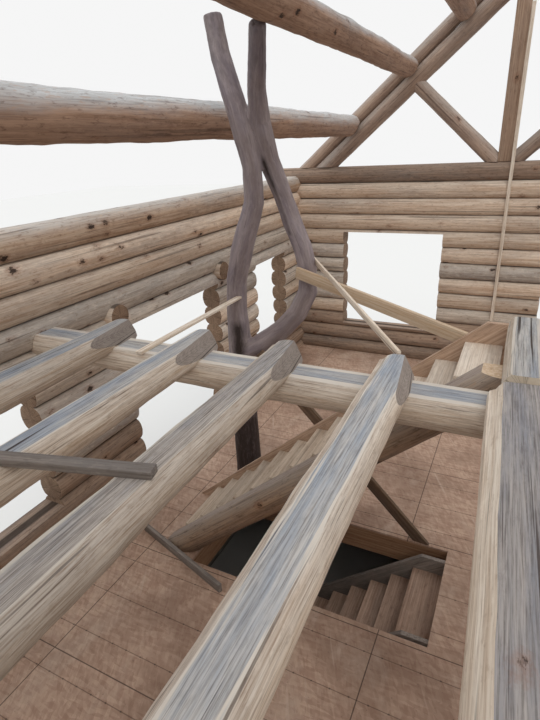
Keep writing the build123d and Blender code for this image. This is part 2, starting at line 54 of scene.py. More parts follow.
Tree = bpy.types.NodeTree
Socket = bpy.types.NodeSocket
Material = bpy.types.Material
Object = bpy.types.Object


class Slot(Enum):
    """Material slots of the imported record."""

    CONCRETE = "concrete"
    FLOOR = "floor_panel"
    SAWN = "sawn_wood"
    HEWN = "hewn_log"
    TREE = "tree_post"
    PEELED = "peeled_log"


class Run(Enum):
    """The direction that a wall's logs lie in."""

    ALONG_X = 0
    ALONG_Y = 1


# Helpers for materials


def linear(hex_colour: str) -> tuple[float, float, float, float]:
    """Turn an sRGB hex colour into the linear one that shaders take.

    Args:
        hex_colour: six hex digits after a hash mark.

    Returns:
        Linear red, green, blue and an alpha of 1.
    """
    values = [int(hex_colour[k : k + 2], 16) / 255 for k in (1, 3, 5)]
    parts = [v / 12.92 if v <= 0.04045 else ((v + 0.055) / 1.055) ** 2.4 for v in values]
    return (parts[0], parts[1], parts[2], 1.0)


def node(tree: Tree, kind: str, inputs: dict | None = None, **settings) -> bpy.types.Node:
    """Add one node, set its properties, and fill or link its sockets.

    Args:
        tree: the material's node tree.
        kind: what follows ShaderNode in the node's type name.
        inputs: values, output sockets or nodes, by the input's name or number. A node stands
            for its first output.
        settings: the node's own properties.

    Returns:
        The new node.
    """
    made = tree.nodes.new("ShaderNode" + kind)
    for name, value in settings.items():
        setattr(made, name, value)
    for socket, value in (inputs or {}).items():
        source = value.outputs[0] if isinstance(value, bpy.types.Node) else value
        if isinstance(source, Socket):
            tree.links.new(source, made.inputs[socket])
        else:
            made.inputs[socket].default_value = source
    return made


def per_metre(*millimetres: float) -> tuple[float, ...]:
    """Texture repeats per metre for features of these sizes in millimetres."""
    return tuple(1000.0 / size for size in millimetres)


def blank(name: str) -> tuple[Material, Tree]:
    """Start an empty node material.

    Args:
        name: the finish's name.

    Returns:
        The material and its empty node tree.
    """
    made = bpy.data.materials.new(name)
    made.use_nodes = True
    made.node_tree.nodes.clear()
    return made, made.node_tree


def cloudy(tree: Tree, place: Socket, repeats: tuple, detail: float = 3.0, rough: float = 0.6,
           bend: float = 0.0) -> Socket:
    """A cloudy pattern, drawn out along each axis as its repeats say.

    Args:
        tree: the material's node tree.
        place: the place that the pattern follows.
        repeats: repeats per metre along each axis.
        detail: how many finer octaves it has.
        rough: the share of each finer octave.
        bend: how much it is bent by itself.

    Returns:
        The pattern's value, about 0.5 in the middle.
    """
    drawn = node(tree, "VectorMath", {0: place, 1: repeats}, operation="MULTIPLY")
    return node(tree, "TexNoise", {"Vector": drawn, "Scale": 1.0, "Detail": detail, "Roughness": rough,
                                   "Distortion": bend}).outputs["Fac"]


def layer(tree: Tree, under: Socket | str, over: str, mask: Socket | bpy.types.Node, start: float = 0.0,
          full: float = 1.0, most: float = 1.0) -> Socket:
    """Lay one colour over another where a mask says so.

    Args:
        tree: the material's node tree.
        under: the colour so far, or a hex colour.
        over: the hex colour that is laid over it.
        mask: the value that says where.
        start: the mask's value where the colour begins to show.
        full: the mask's value where it shows most; under start, it shows where the mask is low.
        most: its greatest share.

    Returns:
        The new colour.
    """
    share = node(tree, "MapRange", {"Value": mask, "From Min": start, "From Max": full, "To Max": most})
    base = linear(under) if isinstance(under, str) else under
    return node(tree, "Mix", {0: share, 6: base, 7: linear(over)}, data_type="RGBA").outputs[2]


def toned(tree: Tree, colour: Socket, low: float, high: float) -> Socket:
    """Darken or lighten a colour by the piece's own tone.

    Args:
        tree: the material's node tree.
        colour: the colour so far.
        low: the factor on the darkest piece.
        high: the factor on the lightest piece.

    Returns:
        The new colour.
    """
    tone = node(tree, "Attribute", attribute_name="tone").outputs["Fac"]
    value = node(tree, "MapRange", {"Value": tone, "To Min": low, "To Max": high})
    return node(tree, "HueSaturation", {"Value": value, "Color": colour}).outputs[0]


def surface(tree: Tree, colour: Socket, roughness: float | bpy.types.Node, height: bpy.types.Node,
            strength: float, depth: float, shine: float, ior: float = 1.5) -> None:
    """Close a material with its relief, its shader and the output.

    Args:
        tree: the material's node tree.
        colour: the base colour.
        roughness: one value, or a node that gives it.
        height: the relief's height.
        strength: the share of the relief that shows.
        depth: the relief's depth in metres.
        shine: the specular level.
        ior: the index of refraction.
    """
    bump = node(tree, "Bump", {"Strength": strength, "Distance": depth, "Height": height})
    shader = node(tree, "BsdfPrincipled", {"Base Color": colour, "Roughness": roughness, "Normal": bump,
                                           "IOR": ior, "Specular IOR Level": shine})
    node(tree, "OutputMaterial", {0: shader})


@dataclass(frozen=True)
class Timber:
    """A wood surface whose grain follows the piece's own grain attribute.

    Streaks and fibres run along the grain; weathered patches, an upper side paler from sun-greying
    and painted top light, pale hewn edges, dark knots and drying checks lie over them.
    Lengths are in millimetres.
    """

    name: str
    light: str
    middle: str
    dark: str
    weather: str
    weathered: float = 0.35
    # Share and colour of the paler upper side: part sun-greying, part painted top light
    sun_grey_and_top_light: float = 0.0
    sun: str = "#b4aca4"
    edge: float = 0.0
    edge_colour: str = "#ddd4c7"
    # Dark line where the log meets the next one: part dirt, part painted shade
    joint_dirt_and_shade: float = 0.0
    joint_dirt_and_shade_colour: str = "#33271f"
    fleck: float = 0.4
    flecks: tuple = (11.0, 34.0, 34.0)
    scarred: bool = False
    scar_colour: str = "#2a211d"
    patch: float = 290.0
    patch_draw: float = 7.0
    streak: float = 34.0
    streak_length: float = 900.0
    fibre: float = 12.0
    fibre_draw: float = 40.0
    comb: float = 0.5
    knots: float = 0.6
    knot_gap: float = 290.0
    knot_size: float = 1.0
    knot_colour: str = "#2b1f1a"
    halo_colour: str = "#86583b"
    checks: float = 0.5
    check_gap: float = 42.0
    check_colour: str = "#3b2e28"
    tone_range: float = 0.3
    roughness: float = 0.74
    relief: float = 0.003

    def material(self) -> Material:
        """Make the timber's material.

        Returns:
            The new material.
        """
        made, tree = blank(self.name)
        grain = node(tree, "Attribute", attribute_name="grain").outputs["Vector"]
        across, along, fine, wide = per_metre(self.streak, self.streak_length, self.fibre, self.patch)
        streak = cloudy(tree, grain, (along, across, across), detail=5.0, bend=0.25)
        fibre = cloudy(tree, grain, (fine / self.fibre_draw, fine, fine), detail=4.0, rough=0.7)
        patch = cloudy(tree, grain, (wide / self.patch_draw, wide, wide), detail=6.0, rough=0.7)
        fleck = cloudy(tree, grain, self.flecks, detail=4.0, rough=0.7)
        rise = self._rise(tree, grain)
        knot, halo = self._knots(tree, grain)
        check = self._checks(tree, grain)

        colour = layer(tree, self.middle, self.light, streak, start=0.36, full=0.64)
        colour = layer(tree, colour, self.weather, patch, start=0.66 - self.weathered / 2,
                       full=0.88 - self.weathered / 2, most=min(1.0, 0.4 + self.weathered))
        # Paler upper side: part sun-greying, part painted light falling from above
        if self.sun_grey_and_top_light:
            lit = node(tree, "Math", {0: rise, 1: -0.8}, operation="ADD")
            mottled = node(tree, "Math", {0: patch, 1: 1.6, 2: lit}, operation="MULTIPLY_ADD")
            colour = layer(tree, colour, self.sun, mottled, start=-0.05, full=0.8, most=self.sun_grey_and_top_light)
        colour = layer(tree, colour, self.dark, fibre, start=0.45, full=0.68, most=self.comb)
        colour = layer(tree, colour, self.light, fleck, start=0.55, full=0.68, most=self.fleck)
        colour = layer(tree, colour, self.dark, fleck, start=0.44, full=0.32, most=self.fleck)
        if self.edge:
            start = self.edge / 1000 + 0.045
            colour = layer(tree, colour, self.edge_colour, self._outward(tree, grain, streak), start=start,
                           full=start + 0.012, most=0.85)
        colour = layer(tree, colour, self.halo_colour, halo)
        colour = layer(tree, colour, self.knot_colour, knot)
        colour = layer(tree, colour, self.check_colour, check)
        # Darker where the log meets the next one: dirt and painted shade in the joint
        if self.joint_dirt_and_shade:
            near = node(tree, "Math", {0: rise}, operation="ABSOLUTE")
            colour = layer(tree, colour, self.joint_dirt_and_shade_colour, near, start=0.79, full=0.88, most=self.joint_dirt_and_shade)
        if self.scarred:
            scar = node(tree, "Attribute", attribute_name="scar").outputs["Fac"]
            less = node(tree, "Math", {0: scar, 1: -0.4}, operation="ADD")
            torn = node(tree, "Math", {0: fleck, 1: 0.8, 2: less}, operation="MULTIPLY_ADD")
            colour = layer(tree, colour, self.scar_colour, torn, start=0.15, full=0.75, most=0.92)
        colour = toned(tree, colour, 1.0 - self.tone_range / 2, 1.0 + self.tone_range / 2)

        height = fibre
        for mask, share in ((streak, 0.5), (check, -1.4), (knot, -0.5)):
            height = node(tree, "Math", {0: mask, 1: share, 2: height}, operation="MULTIPLY_ADD")
        rough = node(tree, "MapRange", {"Value": fibre, "From Min": 0.3, "From Max": 0.7,
                                        "To Min": self.roughness - 0.1, "To Max": self.roughness + 0.12})
        surface(tree, colour, rough, height, strength=0.55, depth=self.relief, shine=0.3, ior=1.45)
        return made

    def _rise(self, tree: Tree, grain: Socket) -> Socket:
        """How high a point sits round the log.

        Args:
            tree: the material's node tree.
            grain: the point's place in the log's own axes.

        Returns:
            A value from -1 underneath to 1 on top.
        """
        flat = node(tree, "VectorMath", {0: grain, 1: (0.0, 1.0, 1.0)}, operation="MULTIPLY")
        out = node(tree, "VectorMath", {0: flat}, operation="NORMALIZE")
        return node(tree, "SeparateXYZ", {0: out}).outputs[2]

    def _outward(self, tree: Tree, grain: Socket, streak: Socket) -> bpy.types.Node:
        """How far a point of a hewn flat lies from its middle line, made ragged by the streaks.

        Args:
            tree: the material's node tree.
            grain: the point's place in the log's own axes.
            streak: the streaks' value.

        Returns:
            The distance in metres.
        """
        side = node(tree, "SeparateXYZ", {0: grain}).outputs[1]
        away = node(tree, "Math", {0: side}, operation="ABSOLUTE")
        return node(tree, "Math", {0: streak, 1: 0.09, 2: away}, operation="MULTIPLY_ADD")

    def _knots(self, tree: Tree, grain: Socket) -> list[bpy.types.Node]:
        """Dark knots longer than wide, only in some cells, and the warm ring round each.

        Args:
            tree: the material's node tree.
            grain: the point's place in the log's own axes.

        Returns:
            The masks of the knots and of their rings.
        """
        cells = node(tree, "VectorMath", {0: grain, 1: (0.62, 1.0, 1.0)}, operation="MULTIPLY")
        cell = node(tree, "TexVoronoi", {"Vector": cells, "Scale": per_metre(self.knot_gap)[0],
                                         "Randomness": 1.0})
        chance = node(tree, "SeparateColor", {0: cell.outputs["Color"]})
        present = node(tree, "Math", {0: chance, 1: 1.0 - self.knots}, operation="GREATER_THAN")
        wobble = cloudy(tree, grain, (24.0, 42.0, 42.0), rough=0.7)
        reach = node(tree, "Math", {0: wobble, 1: 0.34, 2: cell.outputs["Distance"]},
                     operation="MULTIPLY_ADD")
        inner = 0.18 + 0.07 * self.knot_size
        masks = []
        for near, far, most in ((inner - 0.03, inner + 0.02, 0.92), (inner, inner + 0.13, 0.42)):
            mask = node(tree, "MapRange", {"Value": reach, "From Min": near, "From Max": far,
                                           "To Min": most, "To Max": 0.0})
            masks.append(node(tree, "Math", {0: mask, 1: present}, operation="MULTIPLY"))
        return masks

    def _checks(self, tree: Tree, grain: Socket) -> bpy.types.Node:
        """Drying checks: wide and hair-thin straight spindles along the grain, one to three metres long.

        Args:
            tree: the material's node tree.
            grain: the point's place in the log's own axes.

        Returns:
            The mask of the checks.
        """
        tight = per_metre(self.check_gap)[0]
        masks = []
        for along, closer, start, full, share in ((0.42, 1.0, 0.69, 0.73, 1.0), (1.1, 2.2, 0.7, 0.75, 0.7)):
            spindle = cloudy(tree, grain, (along, tight * closer, tight * closer), detail=1.0, rough=0.4)
            masks.append(node(tree, "MapRange", {"Value": spindle, "From Min": start, "From Max": full,
                                                 "To Max": self.checks * share}))
        return node(tree, "Math", dict(enumerate(masks)), operation="MAXIMUM")


@dataclass(frozen=True)
class WallLog(Timber):
    """A peeled log stacked in a wall: knotty, and dark in the joints with the next logs, from dirt and
    painted shade.
    """

    joint_dirt_and_shade: float = 0.85
    fleck: float = 0.55
    knots: float = 0.8
    knot_gap: float = 235.0


@dataclass(frozen=True)
class HewnFlat(Timber):
    """A flat hewn along a log and weathered grey: fine fibres and many long checks."""

    weathered: float = 0.5
    streak: float = 14.0
    streak_length: float = 800.0
    fibre: float = 6.5
    comb: float = 0.8
    fleck: float = 0.25
    knots: float = 0.25
    knot_size: float = 0.7
    checks: float = 0.9
    check_gap: float = 24.0
    roughness: float = 0.83


@dataclass(frozen=True)
class SawnBoard(Timber):
    """A sawn board or tread: narrow streaks, few knots and hardly a check."""

    fleck: float = 0.3
    streak: float = 14.0
    fibre: float = 8.0
    knots: float = 0.3
    knot_gap: float = 240.0
    checks: float = 0.2
    relief: float = 0.0015


@dataclass(frozen=True)
class EndGrain:
    """Sawn log ends: growth rings round the pith, crossed by drying cracks."""

    name: str
    light: str
    dark: str
    crack_colour: str = "#241a15"
    ring: float = 11.0
    contrast: float = 0.3
    roughness: float = 0.85

    def material(self) -> Material:
        """Make the end grain's material.

        Returns:
            The new material.
        """
        made, tree = blank(self.name)
        grain = node(tree, "Attribute", attribute_name="grain").outputs["Vector"]
        flat = node(tree, "VectorMath", {0: grain, 1: (0.0, 1.0, 1.0)}, operation="MULTIPLY")
        radius = node(tree, "VectorMath", {0: flat}, operation="LENGTH").outputs["Value"]
        turns = node(tree, "Math", {0: radius, 1: per_metre(self.ring)[0] * math.tau}, operation="MULTIPLY")
        bent = cloudy(tree, grain, (9.0, 9.0, 9.0))
        phase = node(tree, "Math", {0: bent, 1: 9.0, 2: turns}, operation="MULTIPLY_ADD")
        wave = node(tree, "Math", {0: phase}, operation="SINE")
        ring = node(tree, "MapRange", {"Value": wave, "From Min": -1.0, "From Max": 1.0,
                                       "To Min": 0.45 - self.contrast, "To Max": 0.45 + self.contrast})
        darkening = cloudy(tree, grain, (14.0, 14.0, 14.0), detail=5.0, rough=0.7)
        stained = node(tree, "Math", {0: darkening, 1: 0.9, 2: -0.2}, operation="MULTIPLY_ADD")
        both = node(tree, "Math", {0: ring, 1: stained}, operation="ADD", use_clamp=True)
        out = node(tree, "VectorMath", {0: flat}, operation="NORMALIZE").outputs[0]
        spoke = cloudy(tree, out, (3.1, 3.1, 3.1), detail=1.0)
        off = node(tree, "Math", {0: spoke, 1: 0.52}, operation="SUBTRACT")
        near = node(tree, "Math", {0: off}, operation="ABSOLUTE")
        crack = node(tree, "MapRange", {"Value": near, "From Min": 0.003, "From Max": 0.014, "To Min": 0.85,
                                        "To Max": 0.0})
        colour = layer(tree, self.light, self.dark, both)
        colour = layer(tree, colour, self.crack_colour, crack)
        depth = node(tree, "Math", {0: crack, 1: -1.5, 2: ring}, operation="MULTIPLY_ADD")
        colour = toned(tree, colour, 0.85, 1.1)
        surface(tree, colour, self.roughness, depth, strength=0.5, depth=0.002, shine=0.2)
        return made


@dataclass(frozen=True)
class StrandPanel:
    """Floor panels of pressed wood strands, weathered pale brown, with seams and rows of nails."""

    name: str = "Weathered strand board"
    light: str = "#ccb09b"
    middle: str = "#ad8e7b"
    dark: str = "#7b6152"
    pale: str = "#d6c3b2"
    grit_colour: str = "#5f4b3f"
    chalk_colour: str = "#5d493d"
    seam_colour: str = "#46372f"
    nail_colour: str = "#3c322d"
    panel_long: float = 2440.0
    panel_wide: float = 1220.0
    panel_shift: float = 0.24
    nail_row: float = 400.0
    row_shift: float = 0.21
    nail_gap: float = 150.0
    seam_half: float = 0.0035
    chalk_half: float = 0.003
    nail_half: float = 0.005
    roughness: float = 0.8

    def material(self) -> Material:
        """Make the panel's material.

        Returns:
            The new material.
        """
        made, tree = blank(self.name)
        place = node(tree, "TexCoord").outputs["Object"]
        turned = node(tree, "VectorRotate", {"Vector": place, "Angle": 1.1},
                      rotation_type="Z_AXIS").outputs[0]
        # Strands are about 90 mm long and 22 mm wide, in turned layers
        strands = []
        for lie, repeats, channel in ((place, (11.0, 45.0, 11.0), 0), (turned, (13.0, 52.0, 11.0), 1)):
            drawn = node(tree, "VectorMath", {0: lie, 1: repeats}, operation="MULTIPLY")
            cell = node(tree, "TexVoronoi", {"Vector": drawn, "Scale": 1.0})
            strands.append(node(tree, "SeparateColor", {0: cell.outputs["Color"]}).outputs[channel])
        both = node(tree, "Math", dict(enumerate(strands)), operation="ADD")
        amount = node(tree, "MapRange", {"Value": both, "From Min": 0.2, "From Max": 1.8})
        colour = layer(tree, self.middle, self.light, amount)
        damp = cloudy(tree, place, (0.9, 0.9, 0.9), detail=5.0, rough=0.65)
        colour = layer(tree, colour, self.dark, damp, start=0.42, full=0.68, most=0.65)
        dust = cloudy(tree, place, (1.7, 0.8, 1.0), detail=6.0, rough=0.7, bend=0.6)
        colour = layer(tree, colour, self.pale, dust, start=0.52, full=0.74, most=0.5)
        grit = cloudy(tree, place, (34.0, 34.0, 34.0), detail=4.0, rough=0.75)
        colour = layer(tree, colour, self.grit_colour, grit, start=0.62, full=0.72, most=0.5)
        scuff = cloudy(tree, turned, (0.9, 14.0, 1.0), detail=2.0, rough=0.5)
        colour = layer(tree, colour, self.pale, scuff, start=0.68, full=0.74, most=0.35)

        x, y, _ = node(tree, "SeparateXYZ", {0: place}).outputs
        seam = node(tree, "Math", {0: self._line(tree, x, self.panel_long, self.seam_half, self.panel_shift),
                                   1: self._line(tree, y, self.panel_wide, self.seam_half)},
                    operation="MAXIMUM")
        chalk = self._line(tree, y, self.nail_row, self.chalk_half, self.row_shift)
        nail = node(tree, "Math", {0: self._line(tree, y, self.nail_row, self.nail_half, self.row_shift),
                                   1: self._line(tree, x, self.nail_gap, self.nail_half)},
                    operation="MULTIPLY")
        colour = layer(tree, colour, self.chalk_colour, chalk, most=0.6)
        colour = layer(tree, colour, self.seam_colour, seam, most=0.8)
        colour = layer(tree, colour, self.nail_colour, nail, most=0.6)
        depth = node(tree, "Math", {0: seam, 1: -2.0, 2: amount}, operation="MULTIPLY_ADD")
        surface(tree, colour, self.roughness, depth, strength=0.3, depth=0.001, shine=0.25)
        return made

    @staticmethod
    def _line(tree: Tree, axis: Socket, pitch: float, half: float, shift: float = 0.0) -> bpy.types.Node:
        """Thin lines square to one axis.

        Args:
            tree: the material's node tree.
            axis: the place along the axis.
            pitch: millimetres from line to line.
            half: half a line's width in metres.
            shift: metres that the lines are moved.

        Returns:
            The mask of the lines.
        """
        moved = node(tree, "Math", {0: axis, 1: shift + 40.0 * pitch / 1000}, operation="ADD")
        wave = node(tree, "Math", {0: moved, 1: pitch / 2000}, operation="PINGPONG")
        return node(tree, "MapRange", {"Value": wave, "From Min": half, "From Max": half * 1.6, "To Min": 1.0,
                                       "To Max": 0.0})


@dataclass(frozen=True)
class Concrete:
    """Poured wall concrete: grey, mottled, with small air holes and faint form lines."""

    name: str = "Poured concrete"
    light: str = "#b3b0a8"
    dark: str = "#8d8b84"
    mark_colour: str = "#63625d"
    form_height: float = 610.0
    roughness: float = 0.9

    def material(self) -> Material:
        """Make the concrete's material.

        Returns:
            The new material.
        """
        made, tree = blank(self.name)
        place = node(tree, "TexCoord").outputs["Object"]
        cloud = cloudy(tree, place, (1.4, 1.4, 1.4), detail=7.0, rough=0.65)
        grit = cloudy(tree, place, (60.0, 60.0, 60.0))
        holes = node(tree, "TexVoronoi", {"Vector": place, "Scale": 14.0}).outputs["Distance"]
        hole = node(tree, "MapRange", {"Value": holes, "From Min": 0.05, "From Max": 0.1, "To Min": 1.0,
                                       "To Max": 0.0})
        up = node(tree, "SeparateXYZ", {0: place}).outputs[2]
        lifts = node(tree, "Math", {0: up, 1: per_metre(self.form_height)[0]}, operation="MULTIPLY")
        wave = node(tree, "Math", {0: lifts, 1: 1.0}, operation="PINGPONG")
        line = node(tree, "MapRange", {"Value": wave, "From Max": 0.012, "To Min": 0.45, "To Max": 0.0})
        marks = node(tree, "Math", {0: hole, 1: line}, operation="MAXIMUM")
        colour = layer(tree, self.light, self.dark, cloud, start=0.35, full=0.68)
        colour = layer(tree, colour, self.mark_colour, marks)
        depth = node(tree, "Math", {0: marks, 1: -1.0, 2: grit}, operation="MULTIPLY_ADD")
        surface(tree, colour, self.roughness, depth, strength=0.4, depth=0.002, shine=0.3)
        return made


def shared(look: Timber | EndGrain | StrandPanel | Concrete) -> Material:
    """A field that makes the look's material once, when the finishes are made."""
    return field(default_factory=look.material)


@dataclass
class Finishes:
    """Every finish on the cabin, made once and shared."""

    # Each sun colour paints the upper side paler: part sun-greying, part painted top light
    peeled: Material = shared(WallLog(
        "Peeled pine", "#e3d2be", "#c6ab92", "#8b6a52", "#ada094", sun_grey_and_top_light=0.5, sun="#c6beb4", fleck=0.5,
        knots=0.85, knot_gap=225.0, knot_size=1.5, tone_range=0.36))
    bleached: Material = shared(WallLog(
        "Bleached peeled pine", "#ddd2c4", "#bfb09f", "#85715f", "#a8a099", weathered=0.5, sun_grey_and_top_light=0.5,
        sun="#c6c0b9", fleck=0.6, knots=0.9, knot_gap=205.0, knot_size=1.6, tone_range=0.36))
    crest: Material = shared(Timber(
        "Sun-greyed peeled pine with painted top light", "#dcc3aa", "#bf9f84", "#80614b", "#a99b8f", weathered=0.4, sun_grey_and_top_light=0.8,
        sun="#cbc9c5", fleck=0.6, knots=0.85, knot_gap=225.0, knot_size=1.5))
    # Darker wall pine for the low courses: painted shade
    shaded: Material = shared(WallLog(
        "Peeled pine in painted shade", "#b59d89", "#97806d", "#5e4838", "#857970", weathered=0.45))
    plate: Material = shared(Timber(
        "Older peeled pine", "#a88f7b", "#8b7463", "#574336", "#867a71", weathered=0.45, sun_grey_and_top_light=0.3,
        sun="#a3978c", fleck=0.6, knots=0.8, knot_gap=235.0))
    roof: Material = shared(Timber(
        "Weathered peeled pine", "#bb9a82", "#987862", "#61463a", "#8a766b", sun_grey_and_top_light=0.95, sun="#cdd0d1",
        fleck=0.55, comb=0.4, knots=0.8, knot_gap=250.0, knot_size=0.9, checks=0.4))
    rafter: Material = shared(Timber(
        "Greyed peeled pine", "#b79f8c", "#9a8272", "#665145", "#8d8078", weathered=0.4, sun_grey_and_top_light=0.55,
        sun="#b5aea7", fleck=0.5))
    hewn: Material = shared(HewnFlat(
        "Weathered hewn pine", "#d0ccc6", "#b3b1af", "#6f6965", "#97a2b0", edge=63.0, patch=170.0,
        streak=15.0, fibre=7.0, comb=0.75, fleck=0.2, knots=0.2, roughness=0.82))
    grey_hewn: Material = shared(HewnFlat(
        "Grey hewn pine", "#aca5a0", "#94908e", "#5b5451", "#86878d", patch=140.0, knots=0.3,
        knot_size=0.8, checks=0.8, check_gap=22.0, roughness=0.84))
    brown_hewn: Material = shared(HewnFlat(
        "Brown-grey hewn pine", "#c9c0b7", "#aba39c", "#655c56", "#989ca3", weathered=0.4, edge=66.0,
        patch=160.0, streak_length=900.0, comb=0.85))
    fresh: Material = shared(Timber(
        "Freshly drawn pine", "#eadfd0", "#ceb9a2", "#83674f", "#b7aa9c", sun_grey_and_top_light=0.45, sun="#cbc6c0",
        streak=18.0, streak_length=700.0, fibre=7.0, comb=0.65, fleck=0.3, knots=0.5, checks=0.6,
        check_gap=23.0))
    cream: Material = shared(Timber(
        "Pale drawn pine", "#ebe1d2", "#d3c2ae", "#a0866f", "#c2b6a8", weathered=0.25, streak=18.0,
        fibre=9.0, comb=0.6, fleck=0.35, knots=0.3, knot_gap=330.0, knot_size=0.6, checks=0.6,
        check_gap=28.0))
    board: Material = shared(SawnBoard(
        "Sawn pine board", "#e2cfb6", "#cbae8e", "#a1805f", "#b8a896", weathered=0.3, fleck=0.25,
        knots=0.35, knot_gap=210.0, checks=0.15))
    tread: Material = shared(SawnBoard(
        "Weathered pine tread", "#f0e5d6", "#dac9b6", "#a99480", "#c2b5a7", weathered=0.4, knots=0.35,
        checks=0.3))
    trodden: Material = shared(SawnBoard(
        "Trodden pine tread", "#ddcdba", "#c5b29d", "#8f7965", "#b1a496", weathered=0.4, fleck=0.35,
        checks=0.3))
    tanned: Material = shared(SawnBoard(
        "Sun-browned pine board", "#cbb09a", "#ad9079", "#7b624f", "#9c8678", weathered=0.3, streak=16.0,
        knots=0.4))
    brown: Material = shared(SawnBoard(
        "Darkened pine board", "#ae8a6c", "#906c52", "#62442f", "#826d5e", weathered=0.3, streak=16.0))
    post: Material = shared(SawnBoard(
        "Sawn pine post", "#bba18b", "#a08570", "#705645", "#94847a", streak=18.0, fibre=12.0, fleck=0.35,
        knot_gap=300.0, checks=0.5))
    stringer: Material = shared(Timber(
        "Browned peeled pine", "#a98d73", "#866b56", "#503c2e", "#8b7d72", weathered=0.4, sun_grey_and_top_light=0.7,
        sun="#b0a69b", fleck=0.55, knots=0.5, knot_gap=240.0))
    lower: Material = shared(SawnBoard(
        "Dusty pine tread", "#c5aa96", "#a98b79", "#6d5647", "#9b897c", weathered=0.4, fleck=0.4,
        knot_gap=290.0))
    # Dark board for the brace at the tree's foot: painted shade
    darkening: Material = shared(SawnBoard(
        "Dark board in painted shade", "#7d6654", "#65513f", "#40322a", "#6b5f55", fleck=0.4, knot_gap=290.0,
        checks=0.3))
    grey: Material = shared(SawnBoard(
        "Greyed sawn board", "#a59b92", "#867c74", "#574e48", "#7a7470", weathered=0.5, streak=12.0,
        fleck=0.4, knots=0.25, knot_gap=290.0, checks=0.4, roughness=0.85, relief=0.003))
    skin: Material = shared(Timber(
        "Debarked hardwood", "#a99d9d", "#877d84", "#5c4f4d", "#7b6d69", weathered=0.4, patch=230.0,
        streak=75.0, streak_length=300.0, fibre=16.0, comb=0.22, fleck=0.3, scarred=True, knots=0.3,
        knot_gap=330.0, checks=0.45, check_gap=48.0, roughness=0.6))
    ends: Material = shared(EndGrain("Sawn log end", "#b49b82", "#6d5545"))
    grey_ends: Material = shared(EndGrain("Weathered log end", "#bbb1a8", "#8b8079", ring=6.5, contrast=0.1))
    pale_ends: Material = shared(EndGrain("Pale log end", "#f0e6d6", "#cdbda6", ring=6.0, contrast=0.12))
    panel: Material = shared(StrandPanel())
    concrete: Material = shared(Concrete())


# Helpers for meshes


def clamp(value: float) -> float:
    """The value, kept from 0 to 1."""
    return min(max(value, 0.0), 1.0)


def off_line(point: Vector, low: Vector, high: Vector) -> Vector:
    """The way from the nearest place between two points to a third one.

    Args:
        point: the third point.
        low: the line's first end.
        high: its other end.

    Returns:
        The vector from the line to the point.
    """
    axis = high - low
    return point - low - axis * clamp((point - low).dot(axis) / axis.length_squared)


def deselect() -> None:
    """Leave nothing selected, so that the next operator acts on its own piece."""
    bpy.ops.object.select_all(action="DESELECT")


def only(obj: Object) -> None:
    """Select one object and make it the active one.

    Args:
        obj: the object.
    """
    deselect()
    obj.select_set(True)
    bpy.context.view_layer.objects.active = obj


def apply_all(obj: Object) -> None:
    """Apply the object's modifiers in order.

    Args:
        obj: the object.
    """
    only(obj)
    for modifier in list(obj.modifiers):
        bpy.ops.object.modifier_apply(modifier=modifier.name)


def settle(obj: Object) -> None:
    """Put the object's place, turn and scale into its mesh."""
    only(obj)
    bpy.ops.object.transform_apply(location=True, rotation=True, scale=True)


def join(parts: list[Object], name: str) -> Object:
    """Join several objects into one piece.

    Args:
        parts: the objects; the first keeps its material slots.
        name: the piece's name.

    Returns:
        The joined object.
    """
    deselect()
    for part in parts:
        part.select_set(True)
    bpy.context.view_layer.objects.active = parts[0]
    if len(parts) > 1:
        bpy.ops.object.join()
    made = bpy.context.object
    made.name = name
    made.data.name = name
    return made


def clouds(name: str, size: float) -> bpy.types.Texture:
    """A smooth noise for displacement.

    Args:
        name: the texture's name.
        size: the size of its lumps in metres.

    Returns:
        The new texture.
    """
    made = bpy.data.textures.new(name, "CLOUDS")
    made.noise_scale = size
    made.noise_depth = 2
    return made


def aim(start: Vector, end: Vector) -> Matrix:
    """Frame of a piece that lies from start to end: its X axis along the piece, Z as high as can be.

    Args:
        start: the piece's first end.
        end: its other end.

    Returns:
        The matrix from the piece's own axes to the cabin's, with its origin at start.
    """
    along = (end - start).normalized()
    up = UP if abs(along.z) < 0.95 else Vector((0, -1, 0))
    side = up.cross(along).normalized()
    top = along.cross(side)
    return Matrix.Translation(start) @ Matrix((along, side, top)).transposed().to_4x4()


def write_values(obj: Object, name: str, values: list[float]) -> None:
    """Store one value for each point of a mesh.

    Args:
        obj: the mesh object.
        name: the attribute's name.
        values: the values in the points' order.
    """
    obj.data.attributes.new(name, "FLOAT", "POINT").data.foreach_set("value", values)


def write_places(obj: Object, places: list[float]) -> None:
    """Store the place in the grain for each point of a mesh.

    Args:
        obj: the mesh object.
        places: three coordinates for each point, in the points' order.
    """
    obj.data.attributes.new("grain", "FLOAT_VECTOR", "POINT").data.foreach_set("vector", places)


def write_grain(obj: Object, frame: Matrix, tone: float, shift: float) -> None:
    """Store each point's place in the piece's own axes, and the piece's tone.

    Args:
        obj: the mesh object, with its place in its mesh.
        frame: the piece's own axes.
        tone: 0 for a dark piece to 1 for a light one.
        shift: metres that the grain is moved along the piece, so that no two look alike.
    """
    inverse = frame.inverted()
    places = []
    for vertex in obj.data.vertices:
        own = inverse @ vertex.co
        places.extend((own.x + shift, own.y, own.z))
    write_places(obj, places)
    write_values(obj, "tone", [tone] * len(obj.data.vertices))


class Face(Enum):
    """The surfaces of a log, numbered as its material slots."""

    ROUND = 0
    END = 1
    HEWN = 2


@dataclass
class Cut:
    """A flat cut through a log: what lies past the plane is taken off."""

    at: Vector
    normal: Vector
    face: Face = Face.ROUND


def level_cut(z: float, normal: Vector = UP, face: Face = Face.ROUND) -> Cut:
    """A cut along one level, which takes off what is over it or, with a normal down, under it."""
    return Cut(Vector((0, 0, z)), normal, face)


